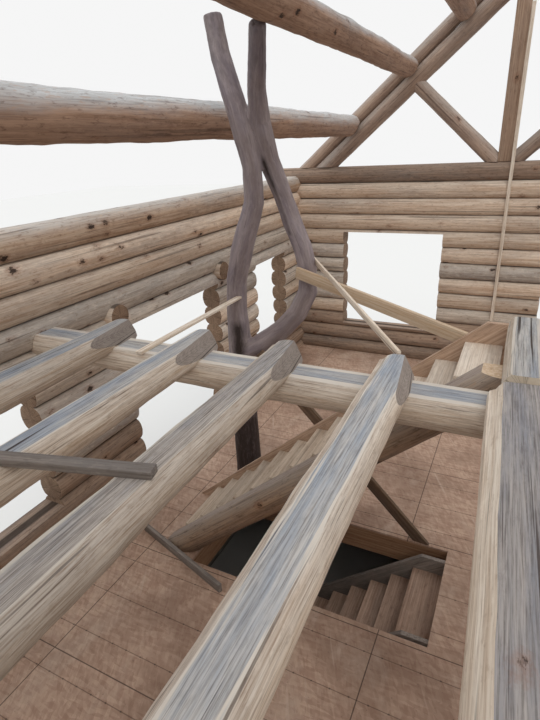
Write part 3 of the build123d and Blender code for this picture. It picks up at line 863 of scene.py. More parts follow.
def take_off(made: Object, cuts: list[Cut]) -> None:
    """Cut a closed mesh by planes and close it again at each.

    Args:
        made: the mesh object, selected alone; not used.
        cuts: the cuts in order.
    """
    bpy.ops.object.mode_set(mode="EDIT")
    for cut in cuts:
        bpy.ops.mesh.select_all(action="SELECT")
        bpy.ops.mesh.bisect(plane_co=cut.at, plane_no=cut.normal, use_fill=True, clear_outer=True)
    bpy.ops.object.mode_set(mode="OBJECT")


@dataclass
class Log:
    """One log between two points, swelling and crooked as a real one is.

    The first slot of its mesh holds the round surface, the second the cut ends and the third
    the faces that are hewn flat.
    """

    start: Vector
    end: Vector
    butt: float
    tip: float
    facets: int = 24
    square: float = 0.0
    ring_gap: float = 0.2
    swell: float = 0.007
    bow: float = 0.006
    rim: float = 0.012
    smooth_angle: float = 38.0
    cuts: list[Cut] = field(default_factory=list)
    holes: list[tuple[Vector, Vector]] = field(default_factory=list)

    def build(self, chance: random.Random, surfaces: list[Material]) -> Object:
        """Model the log.

        Args:
            chance: the source of this log's tone and grain.
            surfaces: materials for the round, the end and the hewn faces.

        Returns:
            The log's object.
        """
        length = (self.end - self.start).length
        deselect()
        bpy.ops.mesh.primitive_cylinder_add(vertices=self.facets, radius=self.butt, depth=length)
        made = bpy.context.object
        bpy.ops.object.mode_set(mode="EDIT")
        self._taper(made, length)
        self._square(made)
        self._divide(made, length)
        bpy.ops.object.mode_set(mode="OBJECT")
        frame = aim(self.start, self.end)
        stand = Matrix.Rotation(math.pi / 2, 4, "Y")
        made.matrix_world = frame @ Matrix.Translation((length / 2, 0, 0)) @ stand
        settle(made)
        self._swell(made)
        self._cut(made)
        write_grain(made, frame, chance.random(), chance.uniform(0, 90))
        self._dress(made, frame, surfaces)
        return made

    def _taper(self, made: Object, length: float) -> None:
        """Narrow the tip and round both rims.

        Args:
            made: the upright cylinder, in edit mode.
            length: the log's length.
        """
        mesh = bmesh.from_edit_mesh(made.data)
        for face in mesh.faces:
            face.select_set(face.normal.z > 0.9)
        mesh.select_flush_mode()
        bmesh.update_edit_mesh(made.data)
        ratio = self.tip / self.butt
        bpy.ops.transform.resize(value=(ratio, ratio, 1.0), center_override=(0, 0, length / 2))
        mesh = bmesh.from_edit_mesh(made.data)
        for edge in mesh.edges:
            edge.select_set(abs(edge.verts[0].co.z - edge.verts[1].co.z) < 1e-5)
        bmesh.update_edit_mesh(made.data)
        bpy.ops.mesh.bevel(offset=self.rim, segments=2, affect="EDGES")

    def _square(self, made: Object) -> None:
        """Push the section's four corners out a little, as logs scribed to each other lie close.

        Args:
            made: the upright cylinder, in edit mode.
        """
        if not self.square:
            return
        for spread, share in ((22.0, 0.6), (9.0, 0.4)):
            mesh = bmesh.from_edit_mesh(made.data)
            for vertex in mesh.verts:
                turn = math.degrees(math.atan2(vertex.co.y, vertex.co.x)) % 90
                vertex.select_set(abs(turn - 45) < spread)
            mesh.select_flush_mode()
            bmesh.update_edit_mesh(made.data)
            grow = 1 + self.square * share
            bpy.ops.transform.resize(value=(grow, grow, 1.0), center_override=(0, 0, 0))

    def _divide(self, made: Object, length: float) -> None:
        """Cut the long sides into rings.

        Args:
            made: the upright cylinder, in edit mode.
            length: the log's length.
        """
        mesh = bmesh.from_edit_mesh(made.data)
        for edge in mesh.edges:
            edge.select_set(abs(edge.verts[0].co.z - edge.verts[1].co.z) > length / 2)
        bmesh.update_edit_mesh(made.data)
        bpy.ops.mesh.subdivide(number_cuts=max(2, int(length / self.ring_gap)))

    def _swell(self, made: Object) -> None:
        """Give the log its slight crook, its long swells and its small lumps.

        Args:
            made: the log's object, in its place.
        """
        for name, size, strength, direction in (
            ("bow", 2.6, self.bow, "Z"),
            ("swell", 0.42, self.swell, "NORMAL"),
            ("lump", 0.11, self.swell * 0.45, "NORMAL"),
        ):
            modifier = made.modifiers.new(name, "DISPLACE")
            modifier.texture = bpy.data.textures.get(name) or clouds(name, size)
            modifier.texture_coords = "LOCAL"
            modifier.direction = direction
            modifier.strength = strength * 2
            modifier.mid_level = 0.5
        apply_all(made)

    def _cut(self, made: Object) -> None:
        """Hew the flats and take out the openings.

        Args:
            made: the log's object, in its place.
        """
        if self.cuts:
            only(made)
            take_off(made, self.cuts)
        for low, high in self.holes:
            deselect()
            bpy.ops.mesh.primitive_cube_add(size=1.0, location=(low + high) / 2, scale=high - low)
            cutter = bpy.context.object
            modifier = made.modifiers.new("opening", "BOOLEAN")
            modifier.operation = "DIFFERENCE"
            modifier.object = cutter
            apply_all(made)
            bpy.data.objects.remove(cutter)

    def _dress(self, made: Object, frame: Matrix, surfaces: list[Material]) -> None:
        """Give the round, end and hewn faces their materials and smooth the round ones.

        Args:
            made: the log's object, in its place.
            frame: the log's own axes.
            surfaces: materials for the round, the end and the hewn faces.
        """
        mesh = made.data
        mesh.materials.clear()
        for finish in surfaces:
            mesh.materials.append(finish)
        inverse = frame.inverted().to_3x3()
        planes = [(cut.at, cut.normal.normalized(), cut.face) for cut in self.cuts
                  if cut.face is not Face.ROUND]
        for face in mesh.polygons:
            own = inverse @ face.normal
            kind = Face.END if abs(own.x) > 0.8 else Face.ROUND
            for at, normal, flat in planes:
                if face.normal.dot(normal) > 0.995 and abs((face.center - at).dot(normal)) < 2e-3:
                    kind = flat
            face.material_index = kind.value
        only(made)
        bpy.ops.object.shade_smooth_by_angle(angle=math.radians(self.smooth_angle))


@dataclass
class Plank:
    """A sawn board between two points, with eased edges."""

    start: Vector
    end: Vector
    wide: float
    thick: float
    face: Vector
    ease: float = 0.003
    smooth_angle: float = 35.0
    cuts: list[Cut] = field(default_factory=list)

    def build(self, chance: random.Random, finish: Material) -> Object:
        """Model the board.

        Args:
            chance: the source of this board's tone and grain.
            finish: its material.

        Returns:
            The board's object.
        """
        along = (self.end - self.start).normalized()
        side = (self.face - along * self.face.dot(along)).normalized()
        across = side.cross(along)
        frame = Matrix.Translation(self.start) @ Matrix((along, side, across)).transposed().to_4x4()
        length = (self.end - self.start).length
        deselect()
        bpy.ops.mesh.primitive_cube_add(size=1.0, location=(0, 0, 0), scale=(length, self.thick, self.wide))
        made = bpy.context.object
        settle(made)
        made.matrix_world = frame @ Matrix.Translation((length / 2, 0, 0))
        settle(made)
        if self.cuts:
            take_off(made, self.cuts)
        bevel = made.modifiers.new("eased edges", "BEVEL")
        bevel.width = self.ease
        bevel.segments = 2
        bevel.limit_method = "ANGLE"
        apply_all(made)
        write_grain(made, frame, chance.random(), chance.uniform(0, 90))
        made.data.materials.append(finish)
        bpy.ops.object.shade_smooth_by_angle(angle=math.radians(self.smooth_angle))
        return made


def place(piece: Object, slot: Slot, *nodes: str) -> Object:
    """Let a finished piece ride on the cabin and stand for CAD nodes.

    Args:
        piece: the finished object.
        slot: the record's material slot; not used.
        nodes: the nodes that it replaces.

    Returns:
        The same piece.
    """
    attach(piece, "root")
    if nodes:
        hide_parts(*nodes)
    LOG.info("%s: %d faces", piece.name, len(piece.data.polygons))
    return piece


def dress_node(name: str, finish: Material) -> Object:
    """Give a CAD node that stays in view its material.

    Args:
        name: the node's name.
        finish: the material.

    Returns:
        The node's object.
    """
    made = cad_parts[name]
    made.data.materials.clear()
    made.data.materials.append(finish)
    LOG.info("%s: dressed as %s", name, finish.name)
    return made


def sloped(name: str) -> Matrix:
    """Frame along a CAD node's box, from its low left to its high right edge.

    Args:
        name: the node's name.

    Returns:
        The frame, with its X axis along the slope.
    """
    low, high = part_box(name)
    return aim(Vector((low.x, 0, low.z)), Vector((high.x, 0, high.z)))


# The cabin's own sizes, in metres


@dataclass(frozen=True)
class Plan:
    """Levels and sizes that the sub-assemblies share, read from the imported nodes."""

    deck: float
    crest: float
    half_x: float
    half_y: float
    wall: float
    top_hewn: float = 0.01
    radius: float = 0.145
    course: float = 0.263
    tail: float = 0.25
    sill: float = 0.585
    far_head: float = 2.31
    low_head: float = 2.06

    @property
    def mid_x(self) -> float:
        """Middle of the side walls."""
        return self.half_x + self.wall / 2

    @property
    def mid_y(self) -> float:
        """Middle of the end walls."""
        return self.half_y + self.wall / 2


def read_plan() -> Plan:
    """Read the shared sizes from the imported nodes.

    Returns:
        The cabin's plan.
    """
    _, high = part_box("far_floor_deck")
    wall_low, wall_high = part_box("far_wall_upper_logs")
    wall = wall_high.y - wall_low.y
    return Plan(deck=high.z, crest=wall_high.z, half_x=wall_high.x, half_y=high.y - wall, wall=wall)


@dataclass
class Gap:
    """A window or doorway in a wall, along it and in height over the deck."""

    low: float
    high: float
    sill: float
    head: float


@dataclass
class Assembly:
    """What every sub-assembly works from: the shared sizes, the finishes and the source of chance."""

    plan: Plan
    finishes: Finishes
    chance: random.Random


@dataclass
class LogWall(Assembly):
    """A wall of stacked peeled logs, notched through at the corners, with openings cut out."""

    name: str
    run: Run
    line: float
    top: float
    gaps: list[Gap]
    nodes: list[str]
    radius_range: tuple[float, float] = (0.985, 1.02)
    taper: tuple[float, float] = (1.02, 0.985)
    square: float = 0.07
    bow: float = 0.004
    hewn: float = 0.012
    jitter: float = 0.012
    tail_jitter: float = 0.06
    nick: float = 0.02
    hole_half: float = 0.25
    shade_height: float = 0.9

    def build(self) -> Object:
        """Lay the courses from the top down.

        Returns:
            The wall as one piece.
        """
        plan = self.plan
        half = plan.half_x if self.run is Run.ALONG_X else plan.half_y
        reach = half + plan.wall + plan.tail
        centre = self.top - plan.radius
        logs = []
        count = 0
        while centre + plan.course / 2 > plan.deck:
            radius = plan.radius * self.chance.uniform(*self.radius_range)
            for low, high, holes in self._stretches(centre, radius, reach):
                logs.append(self._log(low, high, centre, radius, holes, count))
            centre -= plan.course
            count += 1
        return place(join(logs, self.name), Slot.PEELED, *self.nodes)

    def _stretches(self, centre: float, radius: float, reach: float) -> list[tuple]:
        """Split one course at the openings that pass it wholly, and list those that only notch it.

        Args:
            centre: the level of the course's axis.
            radius: its logs' radius.
            reach: how far the wall goes either way from the middle.

        Returns:
            For each log its two ends and the openings that notch it.
        """
        stops = [-reach]
        holes = []
        for gap in sorted(self.gaps, key=lambda g: g.low):
            sill = self.plan.deck + gap.sill
            head = self.plan.deck + gap.head
            if sill < centre - radius + self.nick and head > centre + radius - self.nick:
                stops += [gap.low, gap.high]
            elif sill < centre + radius and head > centre - radius:
                holes.append((gap.low, gap.high, sill, head))
        stops.append(reach)
        return [(low, high, [hole for hole in holes if low < hole[0] < high])
                for low, high in zip(stops[::2], stops[1::2])]

    def _point(self, along: float, across: float, z: float) -> Vector:
        """A point of the wall from its place along and across it."""
        return Vector((along, across, z)) if self.run is Run.ALONG_X else Vector((across, along, z))

    def _log(self, low: float, high: float, centre: float, radius: float, holes: list[tuple],
             count: int) -> Object:
        """One log of one course, with its notches and its levelled top or foot.

        Args:
            low: the log's first end along the wall.
            high: its other end.
            centre: the level of its axis.
            radius: its radius.
            holes: the openings that notch it.
            count: the course's number, from 0 at the top.

        Returns:
            The log's object.
        """
        plan = self.plan
        inner, outer = self.line - self.hole_half, self.line + self.hole_half
        boxes = [(self._point(a, inner, sill), self._point(b, outer, head)) for a, b, sill, head in holes]
        cuts = []
        if count == 0:
            cuts.append(level_cut(self.top - self.hewn))
        if centre - radius < plan.deck:
            cuts.append(level_cut(plan.deck, DOWN))
        if abs(low) < plan.half_y:
            low += self.chance.uniform(-self.jitter, 0)
        else:
            low += self.chance.uniform(0, self.tail_jitter)
        if abs(high) < plan.half_y:
            high += self.chance.uniform(0, self.jitter)
        else:
            high -= self.chance.uniform(0, self.tail_jitter)
        ends = [self._point(low, self.line, centre), self._point(high, self.line, centre)]
        if self.chance.random() < 0.5:
            ends.reverse()
        butt, tip = self.taper
        log = Log(*ends, radius * butt, radius * tip, square=self.square, bow=self.bow, cuts=cuts,
                  holes=boxes)
        finish = self.chance.choice((self.finishes.peeled, self.finishes.bleached))
        # Low courses take the darker finish: painted shade
        if centre < plan.deck + self.shade_height:
            finish = self.finishes.shaded
        if count == 0:
            finish = self.finishes.plate if self.run is Run.ALONG_X else self.finishes.crest
        return log.build(self.chance, [finish, self.finishes.ends, finish])


@dataclass
class Walls(Assembly):
    """The four log walls and the cross logs beside the doorway heads."""

    end_windows: tuple = ((-2.51, -0.784), (0.784, 2.51))
    near_window: tuple[float, float] = (-3.273, -1.543)
    doorway: tuple[float, float] = (-0.303, 1.627)
    far_window: tuple[float, float] = (2.777, 3.877)
    cross_butt: float = 0.13
    cross_tip: float = 0.126
    cross_in: float = 0.06

    def build(self) -> None:
        """Build every wall."""
        plan = self.plan
        end_top = plan.crest + plan.top_hewn
        side_top = end_top - plan.course / 2
        for name, side, head in (("far", 1, plan.far_head), ("near", -1, plan.low_head)):
            gaps = [Gap(*window, plan.sill, head) for window in self.end_windows]
            nodes = [f"{name}_wall_lower_logs", f"{name}_wall_window_piers", f"{name}_wall_upper_logs",
                     "notched_corner_stacks", "crossed_log_tails"]
            LogWall(plan, self.finishes, self.chance, f"{name}_wall_logs", Run.ALONG_X, side * plan.mid_y,
                    end_top, gaps, nodes).build()
        gaps = [Gap(*self.near_window, plan.sill, plan.low_head), Gap(*self.doorway, 0.0, plan.low_head),
                Gap(*self.far_window, plan.sill, plan.low_head)]
        for name, side in (("left", -1), ("right", 1)):
            nodes = [f"{name}_wall_lower_logs", f"{name}_wall_opening_piers", f"{name}_wall_upper_logs"]
            LogWall(plan, self.finishes, self.chance, f"{name}_wall_logs", Run.ALONG_Y, side * plan.mid_x,
                    side_top, gaps, nodes).build()
        self._cross_logs()

    def _cross_logs(self) -> None:
        """The short logs through the side walls beside the doorways."""
        low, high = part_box("doorway_cross_logs")
        level = (low.z + high.z) / 2
        inner = self.plan.half_x - self.cross_in
        logs = []
        for side in (-1, 1):
            for y in (low.y + self.cross_butt, high.y - self.cross_butt):
                log = Log(Vector((side * inner, y, level)), Vector((side * high.x, y, level)),
                          self.cross_butt, self.cross_tip, ring_gap=0.1)
                peeled = self.finishes.peeled
                logs.append(log.build(self.chance, [peeled, self.finishes.ends, peeled]))
        place(join(logs, "doorway_cross_log_set"), Slot.PEELED, "doorway_cross_logs")


@dataclass
class Roof(Assembly):
    """Purlins, ridge and the two gable trusses.

    A purlin has its place from the middle, its radius and how far it lies over the rafters' seam.
    A rafter has its place square to that seam and its radius.
    """

    rise: float = 0.835
    apex: float = 5.974
    purlins: tuple = ((2.404, 0.17, 0.08), (1.489, 0.145, 0.06), (0.734, 0.146, 0.055))
    purlin_taper: tuple[float, float] = (1.03, 0.96)
    seat_back: float = 0.13
    seat_down: float = 0.85
    seat_along: float = 0.53
    ridge_radius: float = 0.15
    ridge_taper: tuple[float, float] = (1.02, 0.96)
    ridge_lift: float = 0.076
    rafters: tuple = ((0.102, 0.105), (-0.128, 0.13))
    rafter_foot: float = 3.75
    rafter_head: float = 0.02
    rafter_tip: float = 0.98
    post_half: float = 0.095
    post_gap: float = 0.02
    post_ease: float = 0.012
    strut_radius: float = 0.11
    strut_tip: float = 0.97
    strut_drop: float = 0.122
    strut_run: float = 1.517
    strut_reach: float = 0.937

    def seam(self, x: float) -> float:
        """Level of the line between the doubled rafters."""
        return self.plan.deck + self.apex - self.rise * abs(x)

    def build(self) -> None:
        """Build the roof frame."""
        self._purlins()
        self._ridge()
        for name, side in (("far", 1), ("near", -1)):
            self._truss(name, side * self.plan.mid_y)

    def _dressed(self, log: Log, finish: Material) -> Object:
        """One roof log with its round surface, its ends and its cut faces."""
        return log.build(self.chance, [finish, self.finishes.ends, finish])

    def _purlins(self) -> None:
        """The three purlins of each side, their far ends bevelled over the rafters."""
        near, far = -self.plan.mid_y, self.plan.mid_y - self.seat_back
        butt, tip = self.purlin_taper
        tilt = math.atan(self.rise)
        for name, side in (("left", -1), ("right", 1)):
            logs = []
            seat = Vector((-side * math.sin(tilt) * self.seat_down, self.seat_along,
                           -math.cos(tilt) * self.seat_down))
            for x, radius, lift in self.purlins:
                level = self.seam(x) + lift
                log = Log(Vector((side * x, near, level)), Vector((side * x, far, level)), radius * butt,
                          radius * tip, facets=40, ring_gap=0.09, swell=0.014, bow=0.012,
                          cuts=[Cut(Vector((side * x, far, self.seam(x))), seat)])
                logs.append(self._dressed(log, self.finishes.roof))
            place(join(logs, f"{name}_purlin_logs"), Slot.PEELED, f"{name}_purlins")

    def _ridge(self) -> None:
        """The ridge log over the king posts."""
        low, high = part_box("ridge_log")
        butt, tip = self.ridge_taper
        level = self.plan.deck + self.apex + self.ridge_lift
        ridge = Log(Vector((0, low.y, level)), Vector((0, high.y, level)), self.ridge_radius * butt,
                    self.ridge_radius * tip, facets=32, ring_gap=0.12, swell=0.008)
        place(join([self._dressed(ridge, self.finishes.roof)], "ridge_pole"), Slot.PEELED, "ridge_log")

    def _truss(self, name: str, y: float) -> None:
        """Doubled rafters, king post and struts of one gable.

        Args:
            name: far or near.
            y: the truss's place along the cabin.
        """
        plan = self.plan
        tilt = math.atan(self.rise)
        rafters = []
        struts = []
        for side in (-1, 1):
            cuts = [Cut(Vector((side * self.post_half, 0, 0)), Vector((-side, 0, 0))),
                    level_cut(plan.crest, DOWN)]
            for offset, radius in self.rafters:
                shift = Vector((side * math.sin(tilt), 0, math.cos(tilt))) * offset
                foot = Vector((side * self.rafter_foot, y, self.seam(self.rafter_foot))) + shift
                head = Vector((side * self.rafter_head, y, self.seam(self.rafter_head))) + shift
                log = Log(foot, head, radius, radius * self.rafter_tip, facets=30, ring_gap=0.12, cuts=cuts)
                rafters.append(self._dressed(log, self.finishes.rafter))
            start = Vector((0, y, plan.crest + plan.top_hewn - self.strut_drop))
            seat = Vector((side * self.strut_run, y, self.seam(self.strut_run)))
            log = Log(start, start.lerp(seat, self.strut_reach), self.strut_radius,
                      self.strut_radius * self.strut_tip, facets=28, ring_gap=0.1, cuts=cuts)
            struts.append(self._dressed(log, self.finishes.rafter))
        place(join(rafters, f"{name}_rafter_logs"), Slot.PEELED, f"{name}_truss_rafters")
        place(join(struts, f"{name}_strut_poles"), Slot.PEELED, f"{name}_truss_struts")
        low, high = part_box(f"{name}_king_post")
        post = Plank(Vector((0, y, low.z)), Vector((0, y, high.z - self.post_gap)), high.x - low.x,
                     high.y - low.y, Vector((0, 1, 0)), ease=self.post_ease)
        place(join([post.build(self.chance, self.finishes.post)], f"{name}_king_post_timber"), Slot.PEELED,
              f"{name}_king_post")


@dataclass
class Loft(Assembly):
    """Joists and edge beam hewn flat on top, on a girder of two logs.

    The right joists are given on the left side and mirrored. A landing log has the places of its two
    ends across the cabin, its radii and half the widths of its hewn top there, and how far it stands
    over the loft.
    """

    top: float = 2.4999
    girder_top: float = 2.37
    girder_y: float = -1.288
    girder_radius: float = 0.15
    girder_flat: float = 0.115
    girder_split: tuple[float, float] = (0.455, 0.595)
    left_joists: tuple = (-2.534, -1.714, -0.989, -0.194)
    right_joists: tuple = (-2.534, -1.714, -1.06)
    brown_joist: int = 2
    joist_butt: float = 0.14
    joist_tip: float = 0.118
    joist_end: float = -1.073
    joist_bend: float = 0.015
    joist_flat: float = 0.08
    joist_rim: float = 0.05
    scarf: float = 0.48
    scarf_in: float = 0.06
    scarf_tilt: float = 0.5
    near_log: tuple = ((0.675, 0.526), (0.19, 0.166), (0.13, 0.111), 0.0)
    near_log_end: float = -1.27
    far_log: tuple = ((0.525, 0.512), (0.122, 0.118), (0.078, 0.086), 0.04)
    far_log_ends: tuple[float, float] = (-1.26, -0.173)

    def build(self) -> None:
        """Build the loft frame."""
        for name, side, rows in (("left", 1, self.left_joists), ("right", -1, self.right_joists)):
            tops = [self.finishes.hewn] * len(rows)
            tops[self.brown_joist] = self.finishes.brown_hewn
            logs = [self._joist(x, side, hewn) for x, hewn in zip(rows, tops)]
            place(join(logs, f"{name}_joist_logs"), Slot.HEWN, f"{name}_loft_joists")
        self._girder()
        self._beam()

    def _joist(self, x: float, side: int, hewn: Material) -> Object:
        """One joist, its flat top widening a little toward the wall.

        Args:
            x: its place on the left side.
            side: 1 for left, -1 for mirrored.
            hewn: the material of its flat top.

        Returns:
            The joist's object.
        """
        top = self.plan.deck + self.top
        butt, tip = self.joist_butt, self.joist_tip
        near, far = side * (x + self.joist_bend), side * (x - self.joist_bend)
        start = Vector((near, -self.plan.mid_y, top - math.sqrt(butt**2 - self.joist_flat**2)))
        end = Vector((far, self.joist_end, top - math.sqrt(tip**2 - self.joist_flat**2)))
        corner = Vector((side * (x - self.joist_bend + self.joist_flat), self.joist_end - self.scarf, top))
        slant = Vector((side, self.scarf_in / self.scarf, self.scarf_tilt))
        log = Log(start, end, butt, tip, facets=36, ring_gap=0.11, swell=0.008, rim=self.joist_rim,
                  cuts=[level_cut(top, UP, Face.HEWN), Cut(corner, slant, Face.END)])
        return log.build(self.chance, [self.finishes.fresh, self.finishes.grey_ends, hewn])

    def _girder(self) -> None:
        """The girder on each side of the edge beam."""
        top = self.plan.deck + self.girder_top
        level = top - math.sqrt(self.girder_radius**2 - self.girder_flat**2)
        reach = self.plan.mid_x
        logs = []
        for low, high in ((-reach, self.girder_split[0]), (self.girder_split[1], reach)):
            log = Log(Vector((low, self.girder_y, level)), Vector((high, self.girder_y, level)),
                      self.girder_radius, self.girder_radius, facets=40, ring_gap=0.11,
                      cuts=[level_cut(top, UP, Face.HEWN)])
            logs.append(log.build(self.chance, [self.finishes.fresh, self.finishes.ends, self.finishes.hewn]))
        place(join(logs, "girder_logs"), Slot.HEWN, "loft_girders")

    def _beam(self) -> None:
        """The long near log and the thinner far log along the landing."""
        logs = []
        for sizes, (near, far), hewn in (
            (self.near_log, (-self.plan.mid_y, self.near_log_end), self.finishes.grey_hewn),
            (self.far_log, self.far_log_ends, self.finishes.hewn),
        ):
            (near_x, far_x), (butt, tip), (butt_flat, tip_flat), lift = sizes
            top = self.plan.deck + self.top + lift
            start = Vector((near_x, near, top - math.sqrt(butt**2 - butt_flat**2)))
            end = Vector((far_x, far, top - math.sqrt(tip**2 - tip_flat**2)))
            log = Log(start, end, butt, tip, facets=40, ring_gap=0.11, swell=0.005, rim=0.02,
                      cuts=[level_cut(top, UP, Face.HEWN)])
            logs.append(log.build(self.chance, [self.finishes.cream, self.finishes.pale_ends, hewn]))
        place(join(logs, "landing_beam_logs"), Slot.HEWN, "landing_edge_beam")


@dataclass
class TreePost(Assembly):
    """The forked tree that stands in the cabin as a post.

    A knuckle has its place right, beyond and up from the foot, and its radius. A split has its two
    ends in the same way and how far it darkens the skin. The damp foot and the grey tips have their
    share of dark, the height where it ends or begins, and over how much height it fades.
    """

    foot: tuple[float, float] = (-2.25, 0.257)
    trunk: tuple = (
        (0, 0, 0, 0.156), (0, 0, 0.7, 0.146), (0.01, 0, 1.61, 0.136), (0.005, -0.01, 2.2, 0.113),
        (0.04, -0.02, 2.535, 0.104), (0.145, -0.05, 2.86, 0.114), (0.34, -0.1, 3.325, 0.097),
        (0.355, -0.13, 3.635, 0.092), (0.25, -0.15, 4.12, 0.098), (0.13, -0.16, 4.54, 0.085),
        (0.085, -0.16, 4.83, 0.08),
    )
    arm: tuple = (
        (0.02, 0, 1.68, 0.12), (0.26, 0.04, 1.82, 0.12), (0.475, 0.08, 1.995, 0.107),
        (0.665, 0.11, 2.195, 0.104), (0.78, 0.12, 2.435, 0.096), (0.785, 0.12, 2.65, 0.092),
        (0.74, 0.11, 2.87, 0.093), (0.635, 0.1, 3.135, 0.092), (0.56, 0.08, 3.37, 0.088),
        (0.45, 0.04, 3.675, 0.095), (0.43, -0.08, 4.015, 0.098), (0.5, -0.23, 4.27, 0.082),
        (0.69, -0.53, 4.64, 0.066),
    )
    splits: tuple = (
        ((0.06, -0.12, 1.6), (0.06, -0.12, 2.02), 0.13),
        ((0.64, 0.0, 3.02), (0.42, -0.06, 3.75), 0.045),
    )
    split_dark: float = 0.85
    damp: tuple[float, float, float] = (0.75, 1.75, 0.9)
    greyed: tuple[float, float, float] = (0.4, 3.7, 0.9)
    sides: int = 24
    grain_size: float = 0.014
    tone: float = 0.5

    def build(self) -> None:
        """Model both limbs, grow them together and dress them."""
        tree = self._limb(self.trunk)
        arm = self._limb(self.arm)
        union = tree.modifiers.new("fork", "BOOLEAN")
        union.operation = "UNION"
        union.object = arm
        skin = tree.modifiers.new("skin", "REMESH")
        skin.mode = "VOXEL"
        skin.voxel_size = self.grain_size
        soften = tree.modifiers.new("soften", "SMOOTH")
        soften.factor = 0.5
        soften.iterations = 7
        for name, size, strength in (("twist", 0.3, 0.014), ("bark_scar", 0.07, 0.005)):
            rough = tree.modifiers.new(name, "DISPLACE")
            rough.texture = clouds(name, size)
            rough.texture_coords = "LOCAL"
            rough.strength = strength
            rough.mid_level = 0.5
        apply_all(tree)
        bpy.data.objects.remove(arm)
        tree = join([tree], "tree_post_skin")
        tree.data.materials.append(self.finishes.skin)
        self._write_grain(tree, self.chance.uniform(0, 90))
        only(tree)
        bpy.ops.object.shade_smooth()
        place(tree, Slot.TREE, "forked_tree_post")

    def _point(self, x: float, y: float, z: float) -> Vector:
        """A place given from the tree's foot, in the cabin."""
        return Vector((self.foot[0] + x, self.foot[1] + y, self.plan.deck + z))

    def _points(self, knuckles: tuple) -> list[Vector]:
        """The knuckles' places in the cabin."""
        return [self._point(x, y, z) for x, y, z, _ in knuckles]

    def _limb(self, knuckles: tuple) -> Object:
        """Extrude a ring from knuckle to knuckle, turning it into each bend.

        Args:
            knuckles: the limb's knuckles from its foot up.

        Returns:
            The limb as a closed mesh.
        """
        points = self._points(knuckles)
        deselect()
        bpy.ops.mesh.primitive_circle_add(vertices=self.sides, radius=knuckles[0][3], fill_type="NGON",
                                          location=points[0])
        made = bpy.context.object
        settle(made)
        heading = UP
        bpy.ops.object.mode_set(mode="EDIT")
        bpy.ops.mesh.select_all(action="SELECT")
        for k in range(1, len(points)):
            following = points[min(k + 1, len(points) - 1)]
            turned = (following - points[k - 1]).normalized()
            bpy.ops.mesh.extrude_region_move(TRANSFORM_OT_translate={"value": points[k] - points[k - 1]})
            axis = heading.cross(turned)
            ratio = knuckles[k][3] / knuckles[k - 1][3]
            bpy.ops.transform.resize(value=(ratio, ratio, ratio), center_override=points[k])
            if axis.length > 1e-4:
                mesh = bmesh.from_edit_mesh(made.data)
                ring = [vertex for vertex in mesh.verts if vertex.select]
                turn = Matrix.Rotation(heading.angle(turned), 4, axis)
                bmesh.ops.rotate(mesh, cent=points[k], matrix=turn.to_3x3(), verts=ring)
                bmesh.update_edit_mesh(made.data)
                heading = turned
        bpy.ops.mesh.select_all(action="SELECT")
        bpy.ops.mesh.normals_make_consistent(inside=False)
        bpy.ops.object.mode_set(mode="OBJECT")
        return made

    def _write_grain(self, tree: Object, shift: float) -> None:
        """Let the grain follow the nearer limb: height along it, and offset from its heart.

        Args:
            tree: the tree's object.
            shift: metres that the grain is moved up.
        """
        spans = []
        for knuckles in (self.trunk, self.arm):
            points = self._points(knuckles)
            spans += zip(points, points[1:])
        places = []
        for vertex in tree.data.vertices:
            offsets = [off_line(vertex.co, low, high) for low, high in spans]
            heart = min(offsets, key=lambda off: off.length_squared)
            places.extend((vertex.co.z + shift, heart.x, heart.y))
        write_places(tree, places)
        write_values(tree, "tone", [self.tone] * len(tree.data.vertices))
        write_values(tree, "scar", [self._scar(vertex.co) for vertex in tree.data.vertices])

    def _scar(self, point: Vector) -> float:
        """How dark a point is: the damp foot, the grey tips, the open burl and the split limb.

        Args:
            point: a point of the skin.

        Returns:
            A share from 0 to 1.
        """
        height = point.z - self.plan.deck
        damp, dry, fade = self.damp
        grey, begin, spread = self.greyed
        worst = max(damp * clamp((dry - height) / fade), grey * clamp((height - begin) / spread))
        for start, end, reach in self.splits:
            away = off_line(point, self._point(*start), self._point(*end)).length
            worst = max(worst, self.split_dark - self.split_dark * min(away / reach, 1.0))
        return worst


